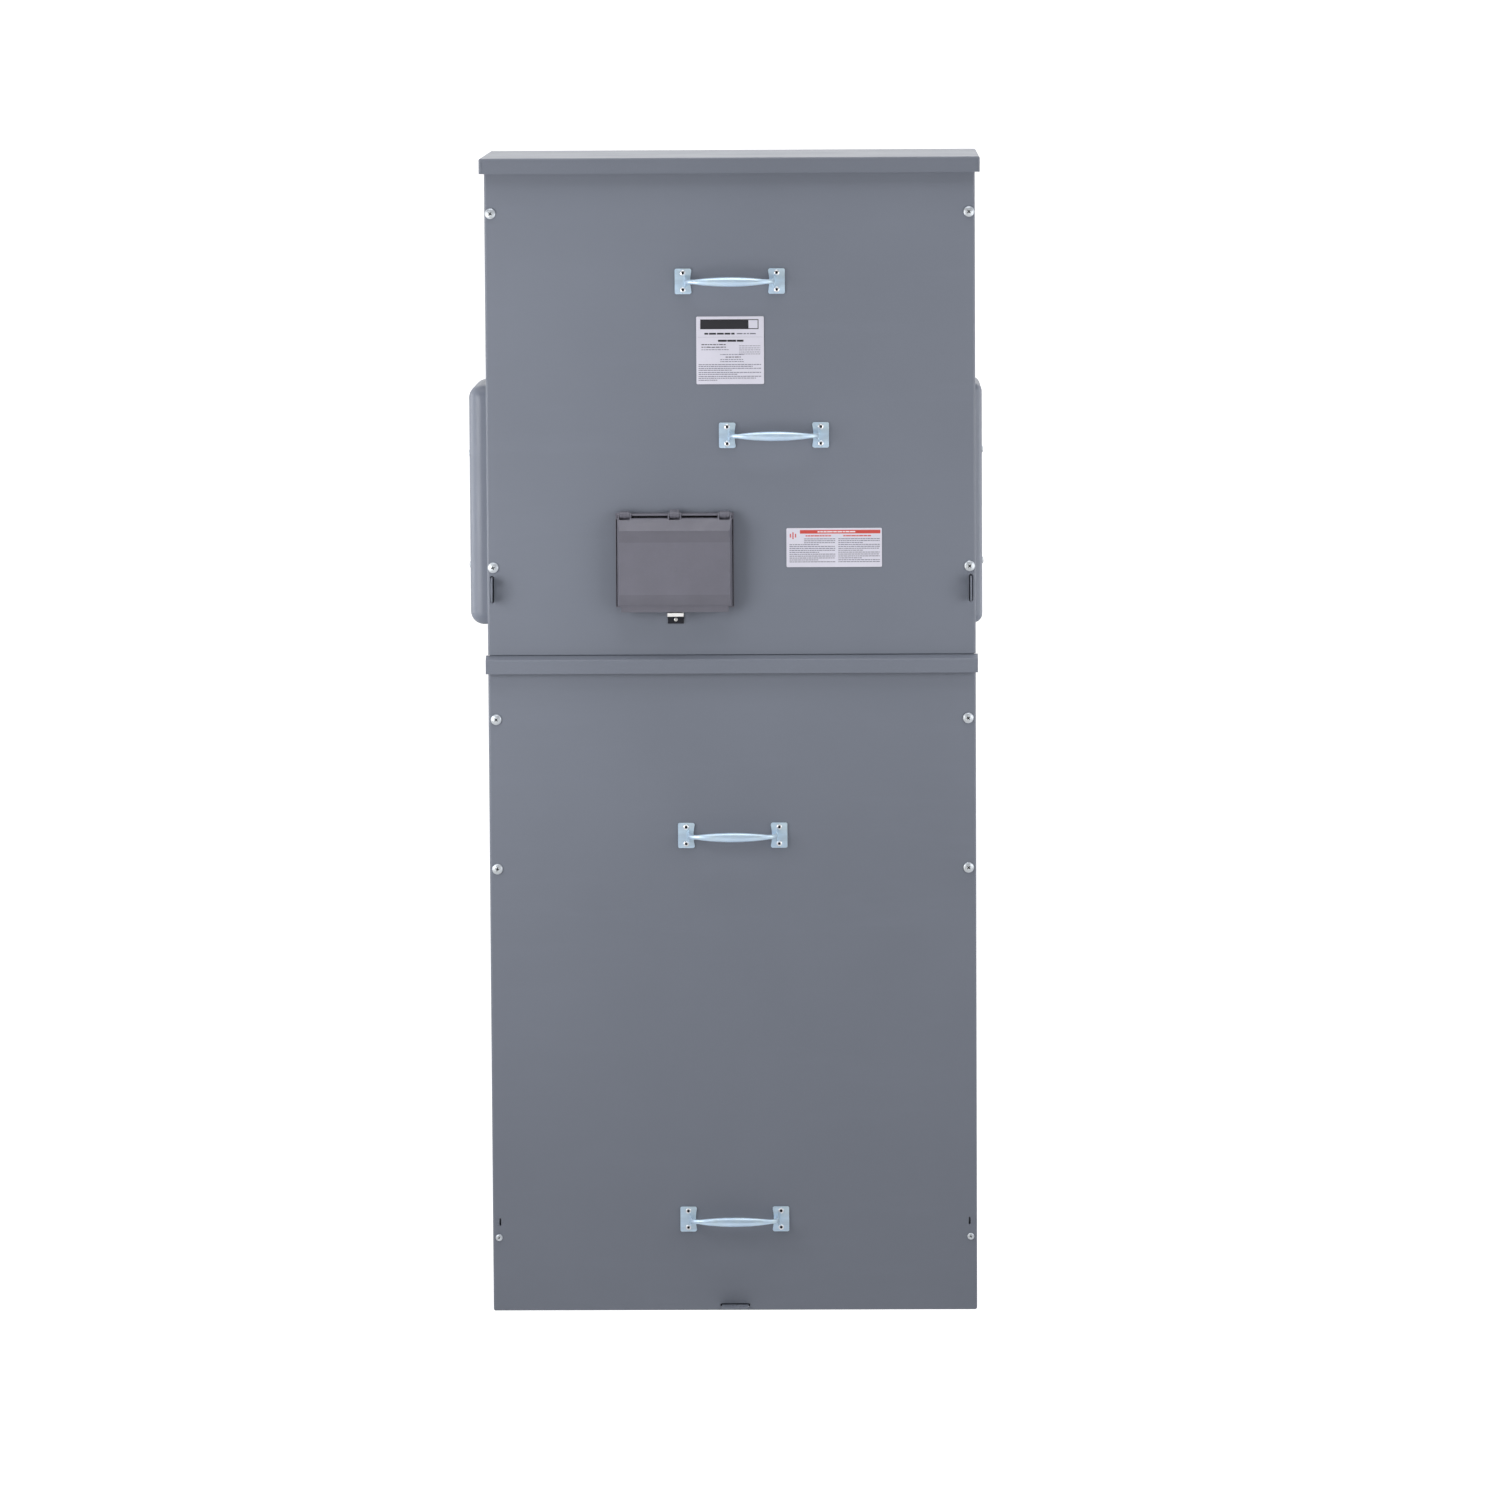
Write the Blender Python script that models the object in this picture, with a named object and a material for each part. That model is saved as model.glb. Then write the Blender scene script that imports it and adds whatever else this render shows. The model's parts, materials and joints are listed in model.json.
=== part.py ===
"""Outdoor main breaker section of a multi-meter centre, wall mounted, two bolted covers.

Metres, +Z up. The front faces -Y and the wall is the plane y = 0. Inside this script heights are
measured from the bottom edge of the covers; the datum empty lowers everything so that the origin
ends up at the middle of the back face.
"""

import math

import bmesh
import bpy
from mathutils import Vector

# Driving dimensions of the cabinet.
WIDTH = 0.650
HEIGHT = 1.545
DEPTH = 0.320
MOUNT_HEIGHT = HEIGHT / 2
SHEET = 0.002
BEND = 0.003
GAP = 0.0003
CLEARANCE = 0.001
PAST = 0.010

# The folded shell that the covers close.
SHELL_HALF = WIDTH / 2 - SHEET - CLEARANCE
SHELL_INNER = SHELL_HALF - SHEET
SHELL_BOTTOM = 0.0035
SHELL_TOP = 1.5415
FLANGE_FRONT = -(DEPTH - 0.0055)
FLANGE_WIDTH = 0.025
END_WALL_FOLD = 0.015
WALL_HOLE_RADIUS = 0.005
WALL_HOLE_X = 0.250
WALL_HOLE_HEIGHTS = (0.100, 1.450)

# Rain cap and the drip rail between the covers.
CAP_HALF = 0.3315
CAP_FRONT = -(DEPTH + 0.010)
CAP_LIP = 0.0205
CAP_RISE = 0.003
RAIL_HALF = 0.3277
RAIL_TOP = 0.915
RAIL_SLOPE_TOP = 0.8838
RAIL_SLOPE_BOTTOM = 0.8780
RAIL_BOTTOM = 0.8603

# Covers. Each hangs from its top edge and swings out at the bottom.
COVER_FLANGE = 0.018
BOTTOM_FLANGE = 0.010
UPPER_BOTTOM = 0.8850
UPPER_TOP = 1.5370
LOWER_TOP = 0.8690
COVER_AXIS_Y = -(DEPTH - 0.004)

# Cover screws: (height, inset from the cover's edge).
UPPER_SCREWS = ((1.4720, 0.0080), (1.0017, 0.0080))
LOWER_SCREWS = ((0.7986, 0.0103), (0.5980, 0.0103))
SMALL_SCREW = (0.0998, 0.0084)
SCREW_HEAD_RADIUS = 0.0071
SMALL_HEAD_RADIUS = 0.0046
SCREW_HEAD_RIM = 0.0010
SCREW_HEAD_CROWN = 0.36
SCREW_SHANK_RADIUS = 0.0024
SCREW_TIP_Y = -0.3110
SCREW_HOLE_RADIUS = 0.0029
SLIT = (0.0024, 0.010)
SLIT_HEIGHT = 0.121
SLIT_INSET = 0.0100

# Sealing tabs that stand out through slots in the covers.
TAB_REACH = 0.022
TAB_ROOT_Y = -0.285
SEAL_TAB_HEIGHT = 0.9725
SEAL_TAB_HALF = 0.0165
SEAL_TAB_CORNER = 0.007
SEAL_HOLE = (0.0095, 0.0045)
PADLOCK_TAB_HALF = 0.018
PADLOCK_TAB_CORNER = 0.010
PADLOCK_TAB_Z = (0.0058, 0.0078)
PADLOCK_HOLES = ((0.0075, 0.010, 0.0056), (-0.0030, 0.012, 0.0016))

# Pull handles: (centre x, centre height).
UPPER_PULLS = ((0.0, 1.3814), (0.0576, 1.1770))
LOWER_PULLS = ((0.0, 0.6425), (0.0, 0.1244))
PULL_HALF = 0.073
PULL_PLATE = (0.0228, 0.0338)
PULL_PLATE_THICK = 0.002
PULL_WAIST = 0.0018
PULL_HALF_SPAN = 0.0585
PULL_REACH = (0.0012, 0.0285)
PULL_SHOULDER = (3.2, 0.62)
PULL_RADIUS = (0.0034, 0.0061)
PULL_SWELL = 0.047
PULL_FOOT = (0.9, 2.4, 0.35)

# Breaker window, its plastic frame and the door over it.
WINDOW_X = -0.0749
WINDOW_HALF = 0.0640
WINDOW_Z = (0.9560, 1.0555)
FRAME_HALF = 0.0787
FRAME_Z = (0.9487, 1.0702)
FRAME_REACH = 0.010
FRAME_HEAD = (1.0742, 0.0070)
DOOR_AXIS = (-(DEPTH + 0.0115), 1.0722)
DOOR_HALF = 0.0765
DOOR_DRAFT = 0.19
DOOR_WALL = 0.0022
DOOR_BACK = 0.0106
DOOR_PROFILE = ((1.0682, 0.0130), (1.0665, 0.0160), (1.0520, 0.0290), (1.0363, 0.0250),
                (0.9666, 0.0250), (0.9532, 0.0205), (0.9514, 0.0190))
DOOR_LIP = (0.0714, 0.9430, 0.0130, 0.0182)
KNUCKLES = (-0.0665, 0.0, 0.0665)
KNUCKLE_HALF = 0.0065
KNUCKLE_RADIUS = 0.0040
KNUCKLE_NOTCH = 1.0657
EAR_THICK = 0.0016
EAR_RADIUS = 0.0034
EAR_ROOT = (0.0130, 0.0165, 1.0647, 1.0682)
PIN_RADIUS = 0.0015
PIN_END = 0.004

# Hasp staple under the door's lip.
HASP_SHEET = 0.0015
HASP_X = (-0.0100, 0.0115)
HASP_Z = (0.9264, 0.9412)
HASP_REACH = 0.0220
HASP_RIVET = (0.0008, 0.9318)
HASP_RIVET_SIZE = (0.0024, 0.0018)

# Labels: (centre x, centre height, width, height).
RATING_LABEL = (0.0, 1.2898, 0.0898, 0.0898)
CAUTION_LABEL = (0.1370, 1.0270, 0.1270, 0.0520)
LABEL_THICK = 0.0004

# Bus-side covers and the openings under them: (how far the cover stands out, corner radius).
LEFT_COVER = (0.034, 0.018)
RIGHT_COVER = (0.016, 0.012)
SIDE_COVER_Y = (-0.235, -0.058)
SIDE_COVER_Z = (0.918, 1.241)
SIDE_OPENING_Y = (-0.150, -0.068)
SIDE_OPENING_Z = (0.943, 1.206)

# Main breaker.
BREAKER_HALF = 0.105
BREAKER_Z = (0.895, 1.145)
BREAKER_BACK = -0.1600
BREAKER_MIDDLE = -0.2600
BREAKER_FRONT = -0.3000
ESCUTCHEON = (0.045, 0.036, -0.3110)
TOGGLE_Z = 1.0000
TOGGLE_Y = -0.2800
TOGGLE_HUB_RADIUS = 0.012
TOGGLE_LENGTH = 0.046
TOGGLE_HALF = 0.016
TOGGLE_ANGLE = math.radians(24)
TOGGLE_SLOT = (0.018, 0.0235)
BUTTON = (0.052, 0.970)
BUTTON_HALF = 0.004
TERMINAL_POCKET = (0.024, 0.020, 0.015, 0.034)
POLE_PITCH = 0.070
POLES = (("a", -POLE_PITCH), ("b", 0.0), ("c", POLE_PITCH))

# Copper and aluminium inside.
STRAP = (0.040, 0.006)
STRAP_Y = -0.205
STRAP_BEND = 0.008
BUS_THICK = 0.0064
BUS_HEIGHT = 0.050
BUS_X = (-0.345, 0.331)
BUS_ROWS = (("a", 1.170, -0.120), ("b", 1.105, -0.100), ("c", 1.040, -0.080))
NEUTRAL_ROW = (0.975, -0.100)
STRAP_TOP = 1.208
LINK_HOLE_INSET = 0.012
LINK_HOLE_RADIUS = 0.0055
LUG_HEIGHTS = (0.660, 0.620, 0.580)
LUG = (0.036, 0.034, 0.056)
LUG_BORE = 0.0105
LUG_CLAMP = (0.0075, 0.008, 0.010)
NEUTRAL_X = 0.200
NEUTRAL_LUG_Z = 0.560
RISER_FOOT = 0.520
BUS_SUPPORT_X = 0.270
BUS_SUPPORT_HALF = 0.010
BUS_SUPPORT_Z = (0.940, 1.204)
BUS_SUPPORT_FRONT = -0.134
CLEAR_AROUND_BUS = 0.0005
LINE_SUPPORT_HALF = 0.125
LINE_SUPPORT_FOOT = 0.030
LINE_SUPPORT_THICK = 0.004
LINE_SUPPORT_Z = (0.600, 0.760)
BARRIER_Z = (0.876, 0.878)
BARRIER_SLOTS = ((WINDOW_X, 0.100, -0.230, -0.185), (NEUTRAL_X, 0.030, -0.125, -0.085))
GROUND_BAR = ((0.262, -0.020, 0.250), (0.282, -SHEET - GAP, 0.410))
GROUND_HOLES = (6, 0.270, 0.024, 0.0032)


# ---------------------------------------------------------------- materials

def material(name, colour, roughness, metallic=0.0):
    made = bpy.data.materials.new(name)
    made.use_nodes = True
    shader = made.node_tree.nodes["Principled BSDF"]
    shader.inputs["Base Color"].default_value = (*colour, 1.0)
    shader.inputs["Roughness"].default_value = roughness
    shader.inputs["Metallic"].default_value = metallic
    return made


def all_materials():
    return {
        "paint": material("grey_enamel", (0.178, 0.195, 0.235), 0.48),
        "door": material("grey_moulding", (0.165, 0.163, 0.205), 0.45),
        "zinc": material("zinc_plate", (0.62, 0.66, 0.70), 0.32, 1.0),
        "steel": material("stainless_steel", (0.60, 0.60, 0.60), 0.25, 1.0),
        "copper": material("tinned_copper", (0.72, 0.70, 0.66), 0.30, 1.0),
        "aluminium": material("aluminium", (0.75, 0.75, 0.76), 0.35, 1.0),
        "breaker": material("black_moulding", (0.03, 0.03, 0.032), 0.40),
        "insulator": material("red_insulator", (0.33, 0.06, 0.04), 0.55),
        "button": material("red_button", (0.60, 0.05, 0.03), 0.40),
        "label": material("white_label", (0.75, 0.74, 0.82), 0.50),
    }


# ---------------------------------------------------------------- mesh tools

def add_box(bm, low, high):
    """A closed box between two corners."""
    size = Vector(high) - Vector(low)
    verts = bmesh.ops.create_cube(bm, size=1.0)["verts"]
    bmesh.ops.scale(bm, vec=size, verts=verts)
    bmesh.ops.translate(bm, vec=(Vector(low) + Vector(high)) / 2, verts=verts)
    return verts


def add_cylinder(bm, start, end, radius, segments=24):
    """A closed cylinder between two points."""
    start, end = Vector(start), Vector(end)
    along = end - start
    verts = bmesh.ops.create_cone(bm, cap_ends=True, segments=segments, radius1=radius,
                                  radius2=radius, depth=along.length)["verts"]
    turn = Vector((0, 0, 1)).rotation_difference(along).to_matrix()
    bmesh.ops.rotate(bm, matrix=turn, verts=verts)
    bmesh.ops.translate(bm, vec=(start + end) / 2, verts=verts)


def add_loft(bm, rings):
    """Rings of points, each the same length, skinned in order and capped at both ends."""
    loops = [[bm.verts.new(p) for p in ring] for ring in rings]
    for near, far in zip(loops, loops[1:]):
        for i in range(len(near)):
            j = (i + 1) % len(near)
            bm.faces.new((near[i], near[j], far[j], far[i]))
    bm.faces.new(list(reversed(loops[0])))
    bm.faces.new(loops[-1])


def add_prism(bm, outline, axis, start, end):
    """A flat outline swept straight along one axis. The outline gives the other two in X, Y, Z order."""
    index = "xyz".index(axis)

    def at(point, height):
        placed = list(point)
        placed.insert(index, height)
        return placed

    add_loft(bm, [[at(p, start) for p in outline], [at(p, end) for p in outline]])


def add_turned(bm, profile, centre, segments=20):
    """A shape turned about the Y axis. The profile runs from pole to pole as (radius, y)."""
    rings = []
    for radius, along in profile[1:-1]:
        turns = (2 * math.pi * i / segments for i in range(segments))
        rings.append([bm.verts.new((centre[0] + radius * math.cos(t), along,
                                    centre[1] + radius * math.sin(t))) for t in turns])
    poles = [bm.verts.new((centre[0], profile[i][1], centre[1])) for i in (0, -1)]
    for i in range(segments):
        j = (i + 1) % segments
        bm.faces.new((poles[0], rings[0][i], rings[0][j]))
        bm.faces.new((poles[1], rings[-1][j], rings[-1][i]))
        for near, far in zip(rings, rings[1:]):
            bm.faces.new((near[i], far[i], far[j], near[j]))


def arc(centre, radius, start, end, steps):
    """Points of an arc, angles in degrees."""
    turns = (math.radians(start + (end - start) * i / steps) for i in range(steps + 1))
    return [(centre[0] + radius * math.cos(t), centre[1] + radius * math.sin(t)) for t in turns]


def folded(path, thickness, bend=BEND, steps=3):
    """The outline of a sheet folded along a path of corner points on its middle plane."""
    points = [Vector(p) for p in path]
    middle = [(points[0], (points[1] - points[0]).normalized())]
    for before, corner, after in zip(points, points[1:], points[2:]):
        into, out = (corner - before).normalized(), (after - corner).normalized()
        turn = into.angle_signed(out)
        setback = bend * math.tan(abs(turn) / 2)
        start = corner - into * setback
        side = Vector((into.y, -into.x)) * math.copysign(bend, turn)
        centre = start + side
        for i in range(steps + 1):
            angle = -turn * i / steps
            spoke = Vector((-side.x * math.cos(angle) + side.y * math.sin(angle),
                            -side.x * math.sin(angle) - side.y * math.cos(angle)))
            along = Vector((into.x * math.cos(angle) - into.y * math.sin(angle),
                            into.x * math.sin(angle) + into.y * math.cos(angle)))
            middle.append((centre + spoke, along))
    middle.append((points[-1], (points[-1] - points[-2]).normalized()))
    left = [p + Vector((-d.y, d.x)) * thickness / 2 for p, d in middle]
    right = [p - Vector((-d.y, d.x)) * thickness / 2 for p, d in middle]
    return [tuple(p) for p in left + right[::-1]]


# ---------------------------------------------------------------- objects and bodies

BODIES = {}
LOOKS = {}


def add_body(name, pivot, parent="root"):
    """An empty on the body's joint axis, in cabinet coordinates."""
    empty = bpy.data.objects.new("body_" + name, None)
    empty.empty_display_size = 0.05
    bpy.context.collection.objects.link(empty)
    above = BODIES.get(parent)
    if above:
        empty.parent = above[0]
        empty.location = Vector(pivot) - above[1]
    else:
        empty.location = Vector(pivot) - Vector((0, 0, MOUNT_HEIGHT))
    BODIES[name] = (empty, Vector(pivot))


def add_object(name, bm, look, body="root", smooth=None, recalculate=True):
    """Turns a bmesh in cabinet coordinates into an object that belongs to a body."""
    if recalculate:
        bmesh.ops.recalc_face_normals(bm, faces=bm.faces)
    mesh = bpy.data.meshes.new(name)
    bm.to_mesh(mesh)
    bm.free()
    if smooth:
        mesh.shade_smooth()
        mesh.set_sharp_from_angle(angle=math.radians(smooth))
    if look:
        mesh.materials.append(LOOKS[look])
    made = bpy.data.objects.new(name, mesh)
    bpy.context.collection.objects.link(made)
    made.parent = BODIES[body][0]
    made.location = -BODIES[body][1]
    return made


def combine(target, bm, operation, body="root"):
    """Cuts a bmesh out of an object, or joins it on, with a Boolean modifier."""
    tool = add_object(f"{target.name}_{operation.lower()}_tool", bm, None, body)
    tool.display_type = "WIRE"
    tool.hide_render = True
    boolean = target.modifiers.new(operation.title(), "BOOLEAN")
    boolean.operation = operation
    boolean.solver = "EXACT"
    boolean.object = tool


def cut(target, bm, body="root"):
    combine(target, bm, "DIFFERENCE", body)


def join(target, bm, body="root"):
    combine(target, bm, "UNION", body)


def round_edges(made, width, segments=2):
    """Rounds the moulded edges of a plain block."""
    bevel = made.modifiers.new("Bevel", "BEVEL")
    bevel.width = width
    bevel.segments = segments
    bevel.limit_method = "ANGLE"
    bevel.angle_limit = math.radians(50)


def block(name, low, high, look, body="root"):
    bm = bmesh.new()
    add_box(bm, low, high)
    return add_object(name, bm, look, body)


def pan(name, low, high, open_sides, look, body="root", radius=BEND, steps=3, rounded=False):
    """A folded sheet pan: a box without its open sides, rounded at the folds and given a thickness.

    Sides are written as (axis, sign). A rounded pan has folds wide enough to shade smooth.
    """
    bm = bmesh.new()
    add_box(bm, low, high)
    bm.normal_update()

    removed = [f for f in bm.faces
               if any(f.normal[axis] * sign > 0.5 for axis, sign in open_sides)]
    bmesh.ops.delete(bm, geom=removed, context="FACES")
    folds = [e for e in bm.edges if len(e.link_faces) == 2]
    bmesh.ops.bevel(bm, geom=folds, offset=radius, segments=steps, profile=0.5, affect="EDGES")
    made = add_object(name, bm, look, body, smooth=40 if rounded else None, recalculate=False)
    solid = made.modifiers.new("Solidify", "SOLIDIFY")
    solid.thickness = SHEET
    solid.offset = -1
    solid.use_even_offset = True
    if rounded:
        weighted = made.modifiers.new("WeightedNormal", "WEIGHTED_NORMAL")
        weighted.keep_sharp = True
    return made


def screw_positions(screws):
    """Every screw of a list on both edges of a cover, left one first."""
    for height, inset in screws:
        for side in (-1, 1):
            yield side * (WIDTH / 2 - inset), height


def all_screw_positions():
    return list(screw_positions((*UPPER_SCREWS, *LOWER_SCREWS, SMALL_SCREW)))


# ---------------------------------------------------------------- enclosure

def enclosure_shell():
    """Back, sides and front return flanges folded from one sheet."""
    half, back = SHELL_HALF - SHEET / 2, -SHEET / 2
    front, inner = FLANGE_FRONT + SHEET / 2, SHELL_HALF - FLANGE_WIDTH
    path = ((-inner, front), (-half, front), (-half, back), (half, back), (half, front), (inner, front))
    bm = bmesh.new()
    add_prism(bm, folded(path, SHEET), "z", SHELL_BOTTOM, SHELL_TOP)
    shell = add_object("enclosure_shell", bm, "paint", smooth=40)
    holes = bmesh.new()
    for side in (-1, 1):
        near, far = sorted((side * (SHELL_HALF - PAST), side * (SHELL_HALF + PAST)))
        add_box(holes, (near, SIDE_OPENING_Y[0], SIDE_OPENING_Z[0]),
                (far, SIDE_OPENING_Y[1], SIDE_OPENING_Z[1]))
        low, high = sorted((side * (SHELL_INNER + 0.0002), side * (SHELL_INNER - 0.0035)))
        add_box(holes, (low, FLANGE_FRONT - 0.003, SEAL_TAB_HEIGHT - SEAL_TAB_HALF - 0.003),
                (high, FLANGE_FRONT + PAST, SEAL_TAB_HEIGHT + SEAL_TAB_HALF + 0.003))
        for height in WALL_HOLE_HEIGHTS:
            x = side * WALL_HOLE_X
            add_cylinder(holes, (x, -PAST, height), (x, PAST, height), WALL_HOLE_RADIUS, 16)
    for x, height in all_screw_positions():
        start, end = (x, FLANGE_FRONT - 0.002, height), (x, FLANGE_FRONT + 0.006, height)
        add_cylinder(holes, start, end, SCREW_HOLE_RADIUS, 12)
    cut(shell, holes)


def end_walls():
    """The two walls that close the shell, folded inwards at their edges."""
    inner, front, back = SHELL_INNER - GAP, FLANGE_FRONT + SHEET + GAP, -SHEET - GAP
    top = SHELL_TOP - CLEARANCE
    pan("top_end_wall", (-inner, front, top - END_WALL_FOLD), (inner, back, top), [(2, -1)], "paint")
    pan("bottom_end_wall", (-inner, front + BEND, SHELL_BOTTOM),
        (inner, back, SHELL_BOTTOM + END_WALL_FOLD), [(2, 1), (1, -1)], "paint")


def rain_cap():
    """Roof with a lip on the front and both sides, a little higher at the wall."""
    cap = pan("rain_cap", (-CAP_HALF, CAP_FRONT, HEIGHT - CAP_LIP), (CAP_HALF, -0.0005, HEIGHT),
              [(2, -1), (1, 1)], "paint")
    for vertex in cap.data.vertices:
        if vertex.co.y > -0.010 and vertex.co.z > HEIGHT - CAP_LIP / 2:
            vertex.co.z += CAP_RISE


def mid_drip_rail():
    """Sheds rain over the joint between the covers, and hides the lower cover's top edge."""
    half = SHEET / 2
    behind = FLANGE_FRONT - 0.0007 - half
    path = ((behind, RAIL_TOP), (behind, RAIL_SLOPE_TOP), (CAP_FRONT + half, RAIL_SLOPE_BOTTOM),
            (CAP_FRONT + half, RAIL_BOTTOM))
    bm = bmesh.new()
    add_prism(bm, folded(path, SHEET, bend=0.0022), "x", -RAIL_HALF, RAIL_HALF)
    rail = add_object("mid_drip_rail", bm, "paint", smooth=40)
    ends = bmesh.new()
    for side in (-1, 1):
        low, high = sorted((side * (WIDTH / 2 - SHEET - 0.0005), side * (RAIL_HALF + PAST)))
        add_box(ends, (low, FLANGE_FRONT - 0.004, RAIL_SLOPE_TOP + 0.0005), (high, 0.0, RAIL_TOP + PAST))
    cut(rail, ends)


def side_covers():
    """Rounded caps over the openings where the bus bars leave on each side."""
    (front, back), (low, high) = SIDE_COVER_Y, SIDE_COVER_Z
    wall = SHELL_HALF + GAP
    pan("left_bus_cover", (-wall - LEFT_COVER[0], front, low), (-wall, back, high),
        [(0, 1)], "paint", radius=LEFT_COVER[1], steps=5, rounded=True)
    pan("right_bus_cover", (wall, front, low), (wall + RIGHT_COVER[0], back, high),
        [(0, -1)], "paint", radius=RIGHT_COVER[1], steps=5, rounded=True)


def sealing_tabs():
    """Steel ears that stand out through slots in the covers, for a seal or a padlock."""
    tip_y = -(DEPTH + TAB_REACH)
    corner = SEAL_TAB_CORNER
    low, high = SEAL_TAB_HEIGHT - SEAL_TAB_HALF, SEAL_TAB_HEIGHT + SEAL_TAB_HALF
    outline = [(TAB_ROOT_Y, low), (TAB_ROOT_Y, high)]
    outline += arc((tip_y + corner, high - corner), corner, 90, 180, 4)
    outline += arc((tip_y + corner, low + corner), corner, 180, 270, 4)
    for name, side in (("seal_tab_left", -1), ("seal_tab_right", 1)):
        near, far = sorted((side * (SHELL_INNER - GAP), side * (SHELL_INNER - GAP - SHEET)))
        bm = bmesh.new()
        add_prism(bm, outline, "x", near, far)
        tab = add_object(name, bm, "paint")
        hole = bmesh.new()
        middle = (tip_y + SEAL_HOLE[0], SEAL_TAB_HEIGHT)
        add_cylinder(hole, (near - PAST, *middle), (far + PAST, *middle), SEAL_HOLE[1], 16)
        cut(tab, hole)
    half, corner = PADLOCK_TAB_HALF, PADLOCK_TAB_CORNER
    outline = [(-half, TAB_ROOT_Y), (half, TAB_ROOT_Y)]
    outline += arc((half - corner, tip_y + corner), corner, 0, -90, 5)
    outline += arc((-half + corner, tip_y + corner), corner, -90, -180, 5)
    bm = bmesh.new()
    add_prism(bm, outline, "z", *PADLOCK_TAB_Z)
    tab = add_object("padlock_tab", bm, "paint")
    holes = bmesh.new()
    for x, from_tip, radius in PADLOCK_HOLES:
        y = tip_y + from_tip
        add_cylinder(holes, (x, y, 0.0), (x, y, PADLOCK_TAB_Z[1] + PAST), radius, 20)
    cut(tab, holes)


# ---------------------------------------------------------------- breaker and bus work

def breaker_mounting_pan():
    """A plate across the cabinet, folded forward at both sides, that carries the breaker."""
    half, level = SHELL_INNER - GAP - SHEET / 2, BREAKER_BACK + GAP + SHEET / 2
    path = ((-half, level - 0.026), (-half, level), (half, level), (half, level - 0.026))
    bm = bmesh.new()
    add_prism(bm, folded(path, SHEET), "z", BREAKER_Z[0] + 0.005, BREAKER_Z[1] - 0.005)
    add_object("breaker_mounting_pan", bm, "zinc", smooth=40)


def breaker_case():
    """Moulded base with a terminal pocket for each pole at both ends, and the front half on it."""
    low, high = WINDOW_X - BREAKER_HALF, WINDOW_X + BREAKER_HALF
    base = block("breaker_base", (low, BREAKER_MIDDLE, BREAKER_Z[0]),
                 (high, BREAKER_BACK, BREAKER_Z[1]), "breaker")
    half, ahead, behind, deep = TERMINAL_POCKET
    pockets = bmesh.new()
    for _, offset in POLES:
        x = WINDOW_X + offset
        for bottom, top in ((BREAKER_Z[0] - PAST, BREAKER_Z[0] + deep),
                            (BREAKER_Z[1] - deep, BREAKER_Z[1] + PAST)):
            add_box(pockets, (x - half, STRAP_Y - ahead, bottom), (x + half, STRAP_Y + behind, top))
    cut(base, pockets)

    wide, tall, face = ESCUTCHEON
    front = block("breaker_front", (low, BREAKER_FRONT, BREAKER_Z[0]),
                  (high, BREAKER_MIDDLE - GAP, BREAKER_Z[1]), "breaker")
    collar = bmesh.new()
    add_box(collar, (WINDOW_X - wide, face, TOGGLE_Z - tall),
            (WINDOW_X + wide, BREAKER_FRONT + 0.004, TOGGLE_Z + tall))
    join(front, collar)
    slot = bmesh.new()
    add_box(slot, (WINDOW_X - TOGGLE_SLOT[0], face - PAST, TOGGLE_Z - TOGGLE_SLOT[1]),
            (WINDOW_X + TOGGLE_SLOT[0], BREAKER_MIDDLE + PAST, TOGGLE_Z + TOGGLE_SLOT[1]))
    x, half = WINDOW_X + BUTTON[0], BUTTON_HALF + 0.0006
    add_box(slot, (x - half, face - PAST, BUTTON[1] - half),
            (x + half, BREAKER_FRONT + 0.018, BUTTON[1] + half))
    cut(front, slot)


def breaker_toggle():
    """Hub and tapered lever, thrown up at rest, which is ON."""
    bm = bmesh.new()
    middle = Vector((0, TOGGLE_Y, TOGGLE_Z))
    along = Vector((0, -math.cos(TOGGLE_ANGLE), math.sin(TOGGLE_ANGLE)))
    across = Vector((0, math.sin(TOGGLE_ANGLE), math.cos(TOGGLE_ANGLE)))
    rings = []
    for reach, thick, half in ((0.006, 0.0075, TOGGLE_HALF), (0.040, 0.0050, TOGGLE_HALF - 0.002),
                               (0.044, 0.0040, TOGGLE_HALF - 0.003), (TOGGLE_LENGTH, 0.0024, 0.0110)):
        centre = middle + along * reach
        rings.append([centre + across * thick * v + Vector((WINDOW_X + half * u, 0, 0))
                      for u, v in ((-1, -1), (1, -1), (1, 1), (-1, 1))])
    add_loft(bm, rings)
    toggle = add_object("breaker_toggle", bm, "breaker", "toggle")
    hub = bmesh.new()
    add_cylinder(hub, (WINDOW_X - TOGGLE_HALF - 0.001, TOGGLE_Y, TOGGLE_Z),
                 (WINDOW_X + TOGGLE_HALF + 0.001, TOGGLE_Y, TOGGLE_Z), TOGGLE_HUB_RADIUS, 28)
    join(toggle, hub, "toggle")


def trip_button():
    x, half = WINDOW_X + BUTTON[0], BUTTON_HALF
    button = block("trip_button", (x - half, BREAKER_FRONT - 0.004, BUTTON[1] - half),
                   (x + half, BREAKER_FRONT + 0.012, BUTTON[1] + half), "button", "button")
    round_edges(button, 0.0008)


def bent_bar(name, x, path):
    """A flat bar bent on the flat, drawn by its middle line as (y, z)."""
    bm = bmesh.new()
    add_prism(bm, folded(path, STRAP[1], bend=STRAP_BEND), "x", x - STRAP[0] / 2, x + STRAP[0] / 2)
    add_object(name, bm, "copper", smooth=40)


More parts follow.
